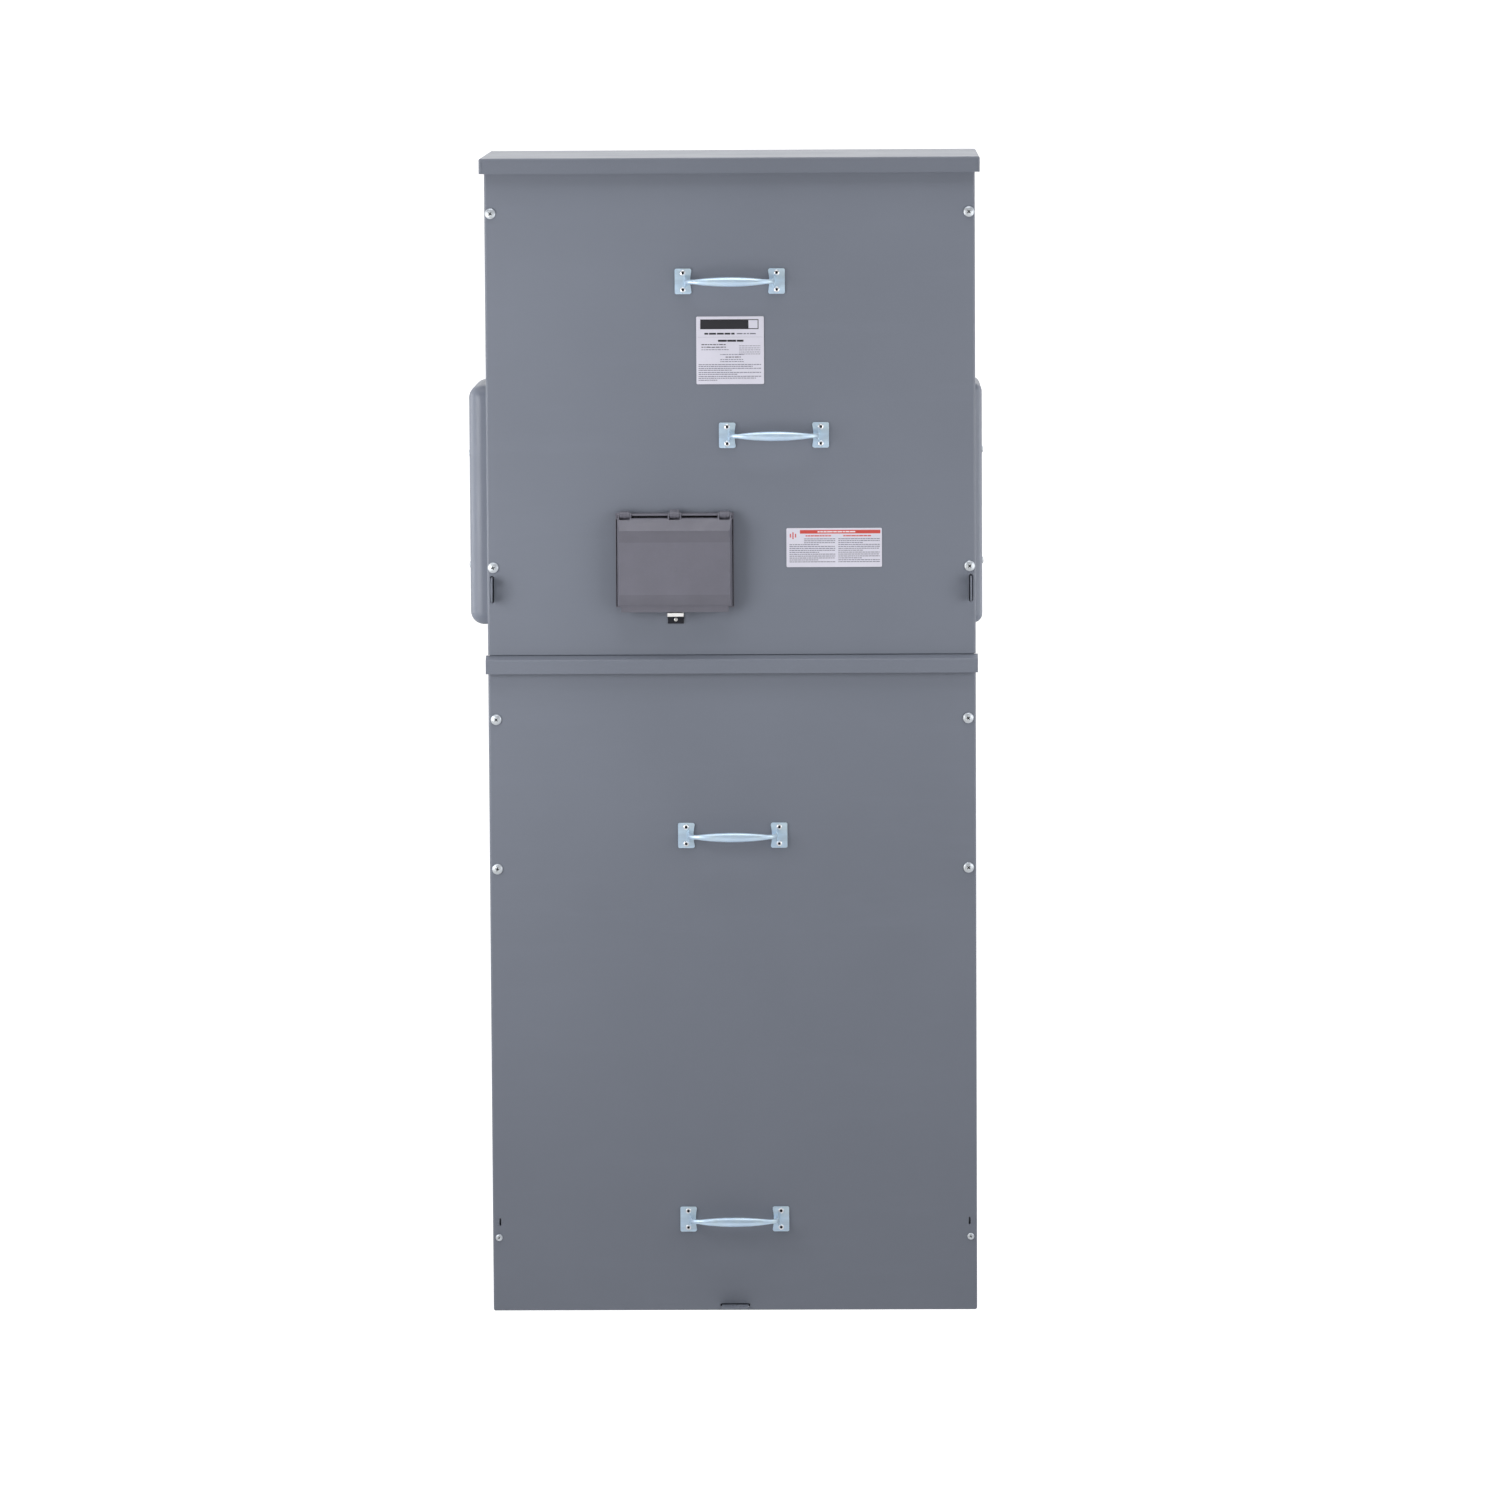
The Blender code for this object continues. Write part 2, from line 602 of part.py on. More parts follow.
def straps():
    """Load straps rise from the breaker and reach back to the bus; line straps drop to the lugs."""
    for (pole, offset), (_, bar_z, bar_y), lug_z in zip(POLES, BUS_ROWS, LUG_HEIGHTS):
        x = WINDOW_X + offset
        landing = bar_y - BUS_THICK / 2 - GAP - STRAP[1] / 2
        bent_bar("load_strap_" + pole, x, ((STRAP_Y, BREAKER_Z[1] - 0.030), (STRAP_Y, STRAP_TOP),
                                           (landing, STRAP_TOP), (landing, bar_z - 0.020)))
        block("line_strap_" + pole, (x - STRAP[0] / 2, STRAP_Y - STRAP[1] / 2, lug_z - 0.040),
              (x + STRAP[0] / 2, STRAP_Y + STRAP[1] / 2, BREAKER_Z[0] + 0.030), "copper")


def bus_bars():
    rows = [(f"through_bus_{phase}", z, y) for phase, z, y in BUS_ROWS]
    rows.append(("neutral_through_bus", *NEUTRAL_ROW))
    for name, z, y in rows:
        bar = block(name, (BUS_X[0], y - BUS_THICK / 2, z - BUS_HEIGHT / 2),
                    (BUS_X[1], y + BUS_THICK / 2, z + BUS_HEIGHT / 2), "copper")
        holes = bmesh.new()
        for x in (BUS_X[0] + LINK_HOLE_INSET, BUS_X[1] - LINK_HOLE_INSET):
            add_cylinder(holes, (x, y - PAST, z), (x, y + PAST, z), LINK_HOLE_RADIUS, 16)
        cut(bar, holes)
    landing = NEUTRAL_ROW[1] - BUS_THICK / 2 - GAP
    block("neutral_riser", (NEUTRAL_X - STRAP[0] / 2, landing - STRAP[1], RISER_FOOT),
          (NEUTRAL_X + STRAP[0] / 2, landing, NEUTRAL_ROW[0] + 0.020), "copper")


def bus_supports():
    """Insulating blocks on the back wall that hold the four bars, one near each side."""
    half, (low, high) = BUS_SUPPORT_HALF, BUS_SUPPORT_Z
    for name, x in (("bus_support_left", -BUS_SUPPORT_X), ("bus_support_right", BUS_SUPPORT_X)):
        support = block(name, (x - half, BUS_SUPPORT_FRONT, low), (x + half, -SHEET - GAP, high), "insulator")
        windows = bmesh.new()
        for z, y in [(row[1], row[2]) for row in BUS_ROWS] + [NEUTRAL_ROW]:
            thick = BUS_THICK / 2 + CLEAR_AROUND_BUS
            tall = BUS_HEIGHT / 2 + CLEAR_AROUND_BUS
            reach = half + PAST
            add_box(windows, (x - reach, y - thick, z - tall), (x + reach, y + thick, z + tall))
        cut(support, windows)


def line_support():
    """Insulating channel that stands off the back wall behind the line straps."""
    foot = -SHEET - GAP - LINE_SUPPORT_THICK / 2
    face = STRAP_Y + STRAP[1] / 2 + CLEAR_AROUND_BUS + LINE_SUPPORT_THICK / 2
    left, right = WINDOW_X - LINE_SUPPORT_HALF, WINDOW_X + LINE_SUPPORT_HALF
    path = ((left - LINE_SUPPORT_FOOT, foot), (left, foot), (left, face), (right, face), (right, foot),
            (right + LINE_SUPPORT_FOOT, foot))
    bm = bmesh.new()
    add_prism(bm, folded(path, LINE_SUPPORT_THICK, bend=2 * BEND), "z", *LINE_SUPPORT_Z)
    add_object("line_strap_support", bm, "insulator", smooth=40)


def lug(name, x, y, z):
    """Aluminium block with a vertical cable bore and a clamping screw in its face."""
    wide, deep, tall = LUG
    made = block(name, (x - wide / 2, y - deep, z - tall / 2), (x + wide / 2, y, z + tall / 2), "aluminium")
    bore = bmesh.new()
    add_cylinder(bore, (x, y - deep / 2, z - tall), (x, y - deep / 2, z + tall), LUG_BORE, 20)
    cut(made, bore)
    radius, proud, above = LUG_CLAMP
    clamp = bmesh.new()
    add_cylinder(clamp, (x, y - deep - proud, z + above), (x, y - deep / 2 + 0.001, z + above), radius, 16)
    join(made, clamp)


def lugs():
    for (pole, offset), z in zip(POLES, LUG_HEIGHTS):
        lug("line_lug_" + pole, WINDOW_X + offset, STRAP_Y - STRAP[1] / 2 - GAP, z)
    landing = NEUTRAL_ROW[1] - BUS_THICK / 2 - GAP - STRAP[1] - GAP
    lug("neutral_lug", NEUTRAL_X, landing, NEUTRAL_LUG_Z)


def ground_bar():
    low, high = GROUND_BAR
    bar = block("ground_bar", low, high, "aluminium")
    count, first, pitch, radius = GROUND_HOLES
    y = (low[1] + high[1]) / 2 - 0.002
    holes = bmesh.new()
    for i in range(count):
        z = first + pitch * i
        add_cylinder(holes, (low[0] - PAST, y, z), (high[0] + PAST, y, z), radius, 12)
    cut(bar, holes)


def barrier_plate():
    """Shelf that divides the breaker space from the cable space, cut away around the bars."""
    half, back, front = SHELL_INNER - GAP, -SHEET - GAP, FLANGE_FRONT + SHEET + GAP
    outline = [(-half, front + BEND), (-half + BEND, front), (half - BEND, front),
               (half, front + BEND), (half, back - BEND), (half - BEND, back),
               (-half + BEND, back), (-half, back - BEND)]
    bm = bmesh.new()
    add_prism(bm, outline, "z", *BARRIER_Z)
    shelf = add_object("barrier_plate", bm, "paint")
    slots = bmesh.new()
    for x, wide, near, far in BARRIER_SLOTS:
        add_box(slots, (x - wide, near, BARRIER_Z[0] - PAST), (x + wide, far, BARRIER_Z[1] + PAST))
    cut(shelf, slots)


# ---------------------------------------------------------------- covers

def bow_point(t):
    """The middle line of a pull's bow for t from -1 to 1: offset along it, and reach from the cover."""
    low, high = PULL_REACH
    square, full = PULL_SHOULDER
    lift = max(0.0, 1 - abs(t) ** square) ** full
    return Vector((PULL_HALF_SPAN * math.sin(t * math.pi / 2), low + (high - low) * lift))


def bow_rings(x, back, height, steps=20, sides=12):
    """Round sections along the bow, thick in the middle and flattened where it meets the plates."""
    thin, thick = PULL_RADIUS
    foot_from, widen, flatten = PULL_FOOT
    rings = []
    for i in range(steps + 1):
        t = -1 + 2 * i / steps
        step = 0.5 / steps
        along, reach = bow_point(t)
        run = (bow_point(min(t + step, 1.0)) - bow_point(max(t - step, -1.0))).normalized()
        radius = thin + (thick - thin) * max(0.0, 1 - (along / PULL_SWELL) ** 2)
        spread, flat = (widen, flatten) if abs(t) > foot_from else (1.0, 1.0)
        centre = Vector((x + along, back - reach, height))
        normal = Vector((-run.y, -run.x, 0))
        rings.append([centre + normal * radius * flat * math.cos(a)
                      + Vector((0, 0, radius * spread * math.sin(a)))
                      for a in (2 * math.pi * k / sides for k in range(sides))])
    return rings


def pull_handle(name, body, x, height):
    """Two riveted end plates with a bow between them."""
    wide, tall = PULL_PLATE
    back = -DEPTH - GAP
    bm = bmesh.new()
    add_loft(bm, bow_rings(x, back, height))
    handle = add_object(name, bm, "zinc", body, smooth=50)
    plates = bmesh.new()
    for side in (-1, 1):
        outer, inner = side * PULL_HALF, side * (PULL_HALF - wide)
        outline = [(x + outer, height - tall / 2), (x + outer, height + tall / 2)]
        outline += [(x + inner + side * PULL_WAIST * math.sin(math.pi * k / 8), height + tall * (0.5 - k / 8))
                    for k in range(9)]
        add_prism(plates, outline, "y", back - PULL_PLATE_THICK, back)
    join(handle, plates, body)


def cover_screw(name, body, x, height, head_radius):
    """Truss-head screw, head outside the cover and shank through the flange behind it."""
    under = -DEPTH - GAP
    rim, crown = under - SCREW_HEAD_RIM, head_radius * SCREW_HEAD_CROWN
    dome = [(head_radius * math.cos(a), rim - crown * math.sin(a))
            for a in (math.radians(18 * i) for i in range(5))]
    profile = [(0, SCREW_TIP_Y), (SCREW_SHANK_RADIUS, SCREW_TIP_Y), (SCREW_SHANK_RADIUS, under),
               (head_radius, under), *dome, (0, rim - crown)]
    bm = bmesh.new()
    add_turned(bm, profile, (x, height), 18)
    add_object(name, bm, "zinc", body, smooth=40)


def cover_holes(screws):
    holes = bmesh.new()
    for x, height in screw_positions(screws):
        add_cylinder(holes, (x, -DEPTH - PAST, height), (x, -DEPTH + PAST, height), SCREW_HOLE_RADIUS, 12)
    return holes


def upper_cover():
    body = "upper_cover"
    cover = pan("upper_cover", (-WIDTH / 2, -DEPTH, UPPER_BOTTOM),
                (WIDTH / 2, -DEPTH + COVER_FLANGE, UPPER_TOP), [(1, 1), (2, 1), (2, -1)], "paint", body)
    holes = cover_holes(UPPER_SCREWS)
    add_box(holes, (WINDOW_X - WINDOW_HALF, -DEPTH - PAST, WINDOW_Z[0]),
            (WINDOW_X + WINDOW_HALF, -DEPTH + PAST, WINDOW_Z[1]))
    for side in (-1, 1):
        near, far = sorted((side * (SHELL_INNER + 0.0004), side * (SHELL_INNER - 0.0050)))
        add_box(holes, (near, -DEPTH - PAST, SEAL_TAB_HEIGHT - SEAL_TAB_HALF - 0.0018),
                (far, -DEPTH + PAST, SEAL_TAB_HEIGHT + SEAL_TAB_HALF + 0.0018))
    cut(cover, holes, body)
    for number, (x, height) in enumerate(screw_positions(UPPER_SCREWS), 1):
        cover_screw(f"upper_cover_screw_{number}", body, x, height, SCREW_HEAD_RADIUS)
    for number, (x, height) in enumerate(UPPER_PULLS, 1):
        pull_handle(f"upper_pull_handle_{number}", body, x, height)
    for name, (x, z, wide, tall) in (("rating_label", RATING_LABEL), ("caution_label", CAUTION_LABEL)):
        block(name, (x - wide / 2, -DEPTH - GAP - LABEL_THICK, z - tall / 2),
              (x + wide / 2, -DEPTH - GAP, z + tall / 2), "label", body)


def lower_cover():
    body = "lower_cover"
    cover = pan("lower_cover", (-WIDTH / 2, -DEPTH, 0.0), (WIDTH / 2, -DEPTH + COVER_FLANGE, LOWER_TOP),
                [(1, 1), (2, 1)], "paint", body)
    holes = cover_holes((*LOWER_SCREWS, SMALL_SCREW))
    add_box(holes, (-PADLOCK_TAB_HALF - 0.0025, -DEPTH - PAST, PADLOCK_TAB_Z[0] - 0.0013),
            (PADLOCK_TAB_HALF + 0.0025, -DEPTH + PAST, PADLOCK_TAB_Z[1] + 0.0020))
    for x in (-WIDTH / 2 + SLIT_INSET, WIDTH / 2 - SLIT_INSET):
        add_box(holes, (x - SLIT[0] / 2, -DEPTH - PAST, SLIT_HEIGHT - SLIT[1] / 2),
                (x + SLIT[0] / 2, -DEPTH + PAST, SLIT_HEIGHT + SLIT[1] / 2))
    add_box(holes, (-SHELL_HALF, -DEPTH + BOTTOM_FLANGE, -PAST),
            (SHELL_HALF, -DEPTH + COVER_FLANGE + PAST, SHEET + CLEARANCE))
    cut(cover, holes, body)
    for number, (x, height) in enumerate(screw_positions(LOWER_SCREWS), 1):
        cover_screw(f"lower_cover_screw_{number}", body, x, height, SCREW_HEAD_RADIUS)
    for side, (x, height) in zip(("left", "right"), screw_positions((SMALL_SCREW,))):
        cover_screw(f"small_screw_{side}", body, x, height, SMALL_HEAD_RADIUS)
    for number, (x, height) in enumerate(LOWER_PULLS, 1):
        pull_handle(f"lower_pull_handle_{number}", body, x, height)


# ---------------------------------------------------------------- breaker door

def ear_spans(margin=0.0):
    """Where the door's six hinge ears lie along X, each wider by a margin on both sides."""
    for offset in KNUCKLES:
        for side in (-1, 1):
            inner = KNUCKLE_HALF + 0.0005 - margin
            outer = KNUCKLE_HALF + 0.0005 + EAR_THICK + margin
            yield sorted((WINDOW_X + offset + side * inner, WINDOW_X + offset + side * outer))


def pin_bore():
    """The hole for the hinge pin, through knuckles and ears alike."""
    bm = bmesh.new()
    reach = FRAME_HALF + PAST
    add_cylinder(bm, (WINDOW_X - reach, *DOOR_AXIS), (WINDOW_X + reach, *DOOR_AXIS), PIN_RADIUS + GAP, 16)
    return bm


def window_frame():
    """Bezel on the cover around the breaker window, with a thin head and three hinge knuckles."""
    body = "upper_cover"
    front, back = -DEPTH - FRAME_REACH, -DEPTH - GAP
    low, high = FRAME_Z
    head, head_reach = FRAME_HEAD
    side = [(back, low), (front, low), (front, high), (-DEPTH - head_reach, high),
            (-DEPTH - head_reach, head), (back, head)]
    bm = bmesh.new()
    add_prism(bm, side, "x", WINDOW_X - FRAME_HALF, WINDOW_X + FRAME_HALF)
    frame = add_object("window_frame", bm, "door", body)
    barrels = bmesh.new()
    for offset in KNUCKLES:
        x = WINDOW_X + offset
        root, foot = back - SHEET, high - KNUCKLE_RADIUS
        outline = [(root, foot), (root, DOOR_AXIS[1] + EAR_RADIUS)]
        outline += arc(DOOR_AXIS, KNUCKLE_RADIUS, 70, 270, 8)
        outline += [(front + CLEARANCE, foot)]
        add_prism(barrels, outline, "x", x - KNUCKLE_HALF, x + KNUCKLE_HALF)
    join(frame, barrels, body)
    hollow = bmesh.new()
    half = WINDOW_HALF - CLEARANCE
    add_box(hollow, (WINDOW_X - half, front - 2 * PAST, WINDOW_Z[0] + CLEARANCE),
            (WINDOW_X + half, 0.0, WINDOW_Z[1] - CLEARANCE))
    cut(frame, hollow, body)
    cut(frame, pin_bore(), body)
    ear_room = bmesh.new()
    for near, far in ear_spans(0.0004):
        add_cylinder(ear_room, (near, *DOOR_AXIS), (far, *DOOR_AXIS), EAR_RADIUS + 0.0007, 20)
    cut(frame, ear_room, body)


def hinge_pin():
    bm = bmesh.new()
    reach = KNUCKLES[2] + KNUCKLE_HALF + PIN_END
    add_cylinder(bm, (WINDOW_X - reach, *DOOR_AXIS), (WINDOW_X + reach, *DOOR_AXIS), PIN_RADIUS, 16)
    add_object("door_hinge_pin", bm, "door", "upper_cover", smooth=40)


def door_solid(inset, back):
    """The door's outer form, or with an inset its hollow. Its ends lean in towards the front."""
    outline = [(DOOR_PROFILE[0][0] - inset, back)]
    outline += [(z - inset * (1 - 2 * (i > 3)), reach - inset)
                for i, (z, reach) in enumerate(DOOR_PROFILE)]
    outline += [(DOOR_PROFILE[-1][0] + inset, back)]
    rings = []
    for side in (-1, 1):
        ring = []
        for z, reach in outline:
            lean = DOOR_DRAFT * max(0.0, reach - DOOR_BACK)
            ring.append((WINDOW_X + side * (DOOR_HALF - inset - lean), -DEPTH - reach, z))
        rings.append(ring)
    bm = bmesh.new()
    add_loft(bm, rings)
    return bm


def access_door():
    body = "access_door"
    door = add_object("access_door", door_solid(0.0, DOOR_BACK), "door", body)
    extras = bmesh.new()
    half, low, near, far = DOOR_LIP
    root = DOOR_PROFILE[-1][0] + SHEET * 2
    add_box(extras, (WINDOW_X - half, -DEPTH - far, low), (WINDOW_X + half, -DEPTH - near, root))
    shallow, deep, bottom, top = EAR_ROOT
    for near_x, far_x in ear_spans():
        outline = [(-DEPTH - deep, bottom), (-DEPTH - shallow, bottom)]
        outline += arc(DOOR_AXIS, EAR_RADIUS, 0, 160, 7)
        outline += [(-DEPTH - deep, top)]
        add_prism(extras, outline, "x", near_x, far_x)
    join(door, extras, body)
    cut(door, door_solid(DOOR_WALL, DOOR_BACK - 0.003), body)
    notches = bmesh.new()
    for offset in KNUCKLES:
        x, half = WINDOW_X + offset, KNUCKLE_HALF + 0.0004
        add_box(notches, (x - half, -DEPTH - 0.03, KNUCKLE_NOTCH), (x + half, -DEPTH, KNUCKLE_NOTCH + 0.02))
    cut(door, notches, body)
    cut(door, pin_bore(), body)


def hasp_staple():
    """Bent steel shelf under the door's lip, riveted to the cover."""
    face = -DEPTH - GAP - HASP_SHEET / 2
    (left, right), (low, high) = HASP_X, HASP_Z
    path = ((face, low), (face, high), (-DEPTH - HASP_REACH, high))
    bm = bmesh.new()
    add_prism(bm, folded(path, HASP_SHEET, bend=HASP_SHEET), "x", WINDOW_X + left, WINDOW_X + right)
    staple = add_object("hasp_staple", bm, "steel", "upper_cover", smooth=40)
    offset, height = HASP_RIVET
    radius, proud = HASP_RIVET_SIZE
    rivet = bmesh.new()
    x = WINDOW_X + offset
    add_cylinder(rivet, (x, face - proud, height), (x, face, height), radius, 14)
    join(staple, rivet, "upper_cover")


# ---------------------------------------------------------------- assembly

def clear_scene():
    for old in list(bpy.data.objects):
        bpy.data.objects.remove(old, do_unlink=True)


def main():
    clear_scene()
    LOOKS.update(all_materials())
    add_body("root", (0, 0, 0), parent=None)
    add_body("upper_cover", (0, COVER_AXIS_Y, UPPER_TOP))
    add_body("lower_cover", (0, COVER_AXIS_Y, LOWER_TOP))
    add_body("access_door", (WINDOW_X, *DOOR_AXIS), parent="upper_cover")
    add_body("toggle", (WINDOW_X, TOGGLE_Y, TOGGLE_Z))
    add_body("button", (WINDOW_X + BUTTON[0], BREAKER_FRONT, BUTTON[1]))
    for build in (enclosure_shell, end_walls, rain_cap, mid_drip_rail, side_covers, sealing_tabs,
                  breaker_mounting_pan, breaker_case, breaker_toggle, trip_button, straps, bus_bars,
                  bus_supports, line_support, lugs, ground_bar, barrier_plate, upper_cover,
                  lower_cover, window_frame, hinge_pin, access_door, hasp_staple):
        build()


main()
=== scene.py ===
"""Looks of the outdoor main breaker section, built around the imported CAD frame.

Heights are measured up from the lower cover's bottom edge and reaches forward from its face.
The case, covers, mouldings and fittings are finely formed pieces of their own; the end walls, bars,
lugs and supports keep their CAD shape and get a finish.
"""

import json
import math
import random

import bmesh
import bpy
from mathutils import Matrix, Vector


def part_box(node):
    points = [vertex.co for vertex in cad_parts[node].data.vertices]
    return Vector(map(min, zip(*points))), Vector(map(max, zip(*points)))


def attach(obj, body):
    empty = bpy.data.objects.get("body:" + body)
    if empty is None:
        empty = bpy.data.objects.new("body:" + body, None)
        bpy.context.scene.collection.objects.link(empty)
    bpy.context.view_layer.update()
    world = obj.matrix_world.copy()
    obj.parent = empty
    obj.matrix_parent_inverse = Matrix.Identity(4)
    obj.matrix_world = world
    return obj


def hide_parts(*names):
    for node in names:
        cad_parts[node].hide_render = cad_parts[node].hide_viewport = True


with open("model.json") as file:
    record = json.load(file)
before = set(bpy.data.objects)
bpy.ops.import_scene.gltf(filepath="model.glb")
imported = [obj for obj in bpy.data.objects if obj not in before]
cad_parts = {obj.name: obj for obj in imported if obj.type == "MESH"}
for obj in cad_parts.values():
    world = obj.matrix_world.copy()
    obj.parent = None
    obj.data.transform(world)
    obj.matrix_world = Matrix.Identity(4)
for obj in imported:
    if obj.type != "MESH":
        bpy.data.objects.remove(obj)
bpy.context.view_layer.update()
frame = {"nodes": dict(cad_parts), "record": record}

SLOT_OF = {part["node"]: part["material_slot"] for part in frame["record"]["subparts"]}
BODY_OF = {node: body for body, members in frame["record"]["behaviour"]["bodies"].items()
           for node in members}

SCREW_NODES = [*(f"{name}_cover_screw_{i}" for name in ("upper", "lower") for i in (1, 2, 3, 4)),
               "small_screw_left", "small_screw_right"]

# Datums taken from the frame.
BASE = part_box("lower_cover")[0].z
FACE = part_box("lower_cover")[0].y
HALF_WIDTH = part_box("lower_cover")[1].x
WALL_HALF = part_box("enclosure_shell")[1].x

# Sheet metal: its thickness, the radius of its bends, how far its raw edges are broken, and the gap
# between pieces that touch.
SHEET = 0.002
BEND = 0.003
RAW_EDGE = 0.00035
GAP = 0.0003

# How far a cutter reaches past what it cuts.
PAST = 0.010

# Case: its front returns, the bus openings in its sides, and the holes for the wall and the screws.
RETURN = 0.025
BUS_OPENING = ((-0.150, 0.943), (-0.068, 1.206))
BUS_OPENING_CORNER = 0.006
WALL_HOLE_X = 0.250
WALL_HOLE_HEIGHTS = (0.100, 1.450)
WALL_HOLE_RADIUS = 0.005
WALL_DIMPLE_RADIUS = 0.0135
SCREW_HOLE_RADIUS = 0.0029

# Case: beads pressed into its back and spot welds along the edges of its sides.
BEAD_HEIGHTS = (0.30, 0.775, 1.25)
BEAD_HALF = (0.230, 0.008)
BEAD_DEPTH = 0.0007
DIMPLE_DEPTH = 0.0006
WELD_RADIUS = 0.0031
WELD_COUNT = 11
WELD_START = 0.060
WELD_PITCH = 0.142
WELD_Y = (-0.012, -0.302)
WELD_FREE = (0.91, 1.25)

# How wavy the covers' flat faces are.
OIL_CANNING = 0.00022

# Slots in the covers: half sizes, and how far each clears the tab that comes through it.
WINDOW_HEIGHT = 1.00575
WINDOW_HALF = (0.064, 0.0498)
WINDOW_CORNER = 0.004
SEAL_SLOT_HALF = 0.0024
SEAL_SLOT_SPARE = 0.0018
PADLOCK_SLOT_HALF = 0.0023
PADLOCK_SLOT_SPARE = 0.0020
PADLOCK_SLOT_RISE = 0.0003
SLIT_HALF = (0.0012, 0.005)
SLIT_INSET = 0.0016
SLIT_ABOVE_SCREW = 0.0212

# Rain cap: its rise towards the wall, its bends, and the welded seams of its front corners.
CAP_RISE = 0.003
CAP_BEND = 0.0025
SEAM_INSET = 0.0042
SEAM_HALF = 0.00015
SEAM_DEPTH = 0.0003

# Drip rail: where it slopes from the case to its front, its bends, and the room at its upright's ends.
RAIL_SLOPE = (0.8780, 0.8838)
RAIL_BEND = 0.0024
RAIL_ROOM = 0.0005

# Side covers: their flange, and the screws on them.
SIDE_LIP = 0.011
SIDE_FLANGE = 0.0012
SIDE_SCREW_Y = -0.165
SIDE_SCREW_SEAT = 0.0024

# Screw heads, as shares of the head's radius, and the height of the rim under the dome.
LARGE_HEAD = 0.0071
SMALL_HEAD = 0.0046
RIM = 0.0008
CROWN = 0.36
SHANK = 0.33
SHANK_LENGTH = 0.004
RECESS_ARM = 0.46
RECESS_HALF = 0.085
RECESS_DEPTH = 0.30
RECESS_TAPER = 0.55

# Pulls: reach of the bow, its half length, how its lift rounds off, and the two end plates.
PULL_REACH = 0.0285
PULL_FOOT = 0.0012
BOW_HALF = 0.0590
BOW_RUN = 0.0927
BOW_POWER = 3.2
BOW_ROUND = 0.62
GRIP_HALF = 0.0475
PLATE_END = 0.073
PLATE_SIZE = (0.0228, 0.0338)
PLATE_THICK = 0.0019
PLATE_CORNER = 0.0022
PLATE_INNER_CORNER = 0.0036
PLATE_WAIST = 0.0022
PLATE_STATIONS = (0.13, 0.25, 0.34, 0.40, 0.43, 0.455, 0.478, 0.494, 0.5)

# Blind rivets of the pulls: their places, head, and the hole that the mandrel left.
RIVET_X = 0.0622
RIVET_Z = 0.0111
RIVET_RADIUS = 0.0037
RIVET_HOLE = 0.0018
RIVET_CROWN = 0.0014

# Labels: round corners, and how far ink stands proud of the film and of other ink.
LABEL_CORNER = 0.0016
INK_PROUD = 0.00005
INK_DEEP = 0.0001
INK_OVER = 0.00004

# Breaker door hinge: where its three knuckles are, how high and how far out its pin is, and the ribs.
HINGES = (-0.0665, 0.0, 0.0665)
HINGE_HEIGHT = 1.0722
PIN_REACH = 0.0115
KNUCKLE_RADIUS = 0.0044
KNUCKLE_ROOT = 0.0065
RIB_PITCH = 0.0042
RIB_HALF = 0.0017
RIB_SWELL = 0.0004

# Grooves under the pin, inset from the knuckles' middles, and the edges of the narrow slots beside the door;
# the faces inside both are painted dark as shadow.
GROOVE_DEPTH = 0.0012
GROOVE_FRONT = 0.0200
GROOVE_INSET = 0.0097
GROOVE_HEIGHTS = (HINGE_HEIGHT - 0.0058, HINGE_HEIGHT - 0.0014)
SHADOW_SLOT_EDGES = (0.0767, 0.0779)
SHADOW_SLOT_FOOT = 0.0012

# Breaker door: its flat face, the moulding mark on it, and where painted shade begins on its undercut and on
# its lip.
DOOR_REACH = 0.0250
MARK_PLACE = (0.0005, 1.0003)
MARK_RADIUS = 0.0030
UNDERCUT_SHADE_REACH = 0.0185
LIP_SHADE_REACH = 0.0175
LIP_SHADE_HEIGHTS = (0.9440, 0.9514)

# Hasp staple and its rivet.
HASP_SHEET = 0.0015
HASP_LIP = 0.0038
HASP_BEND = 0.0014
HASP_RIVET_HEIGHT = 0.9318
HASP_RIVET_RADIUS = 0.0026
HASP_RIVET_CROWN = 0.0012

# Camera: above the section's top and right of its middle, far back and with a long lens.
CAMERA_DISTANCE = 10.0
CAMERA_HEIGHT = 1.771
CAMERA_X = 0.1625
AIM = (0.0236, 0.7567)
LENS = 180.9
SENSOR = 36.0
ROLL = math.radians(-0.30)

# The mounting height leaves the ground this far below the section.
FLOOR_DROP = 0.75
FLOOR_GLOW = 0.55

# The white tent around the section: dim in front of it, bright behind, and where it turns bright.
TENT_FRONT = 0.145
TENT_BACK = 0.90
TENT_SEEN = 1.15
TENT_WRAP = 0.45
TENT_TURN = (-0.35, 0.15)


# ---- shader tools

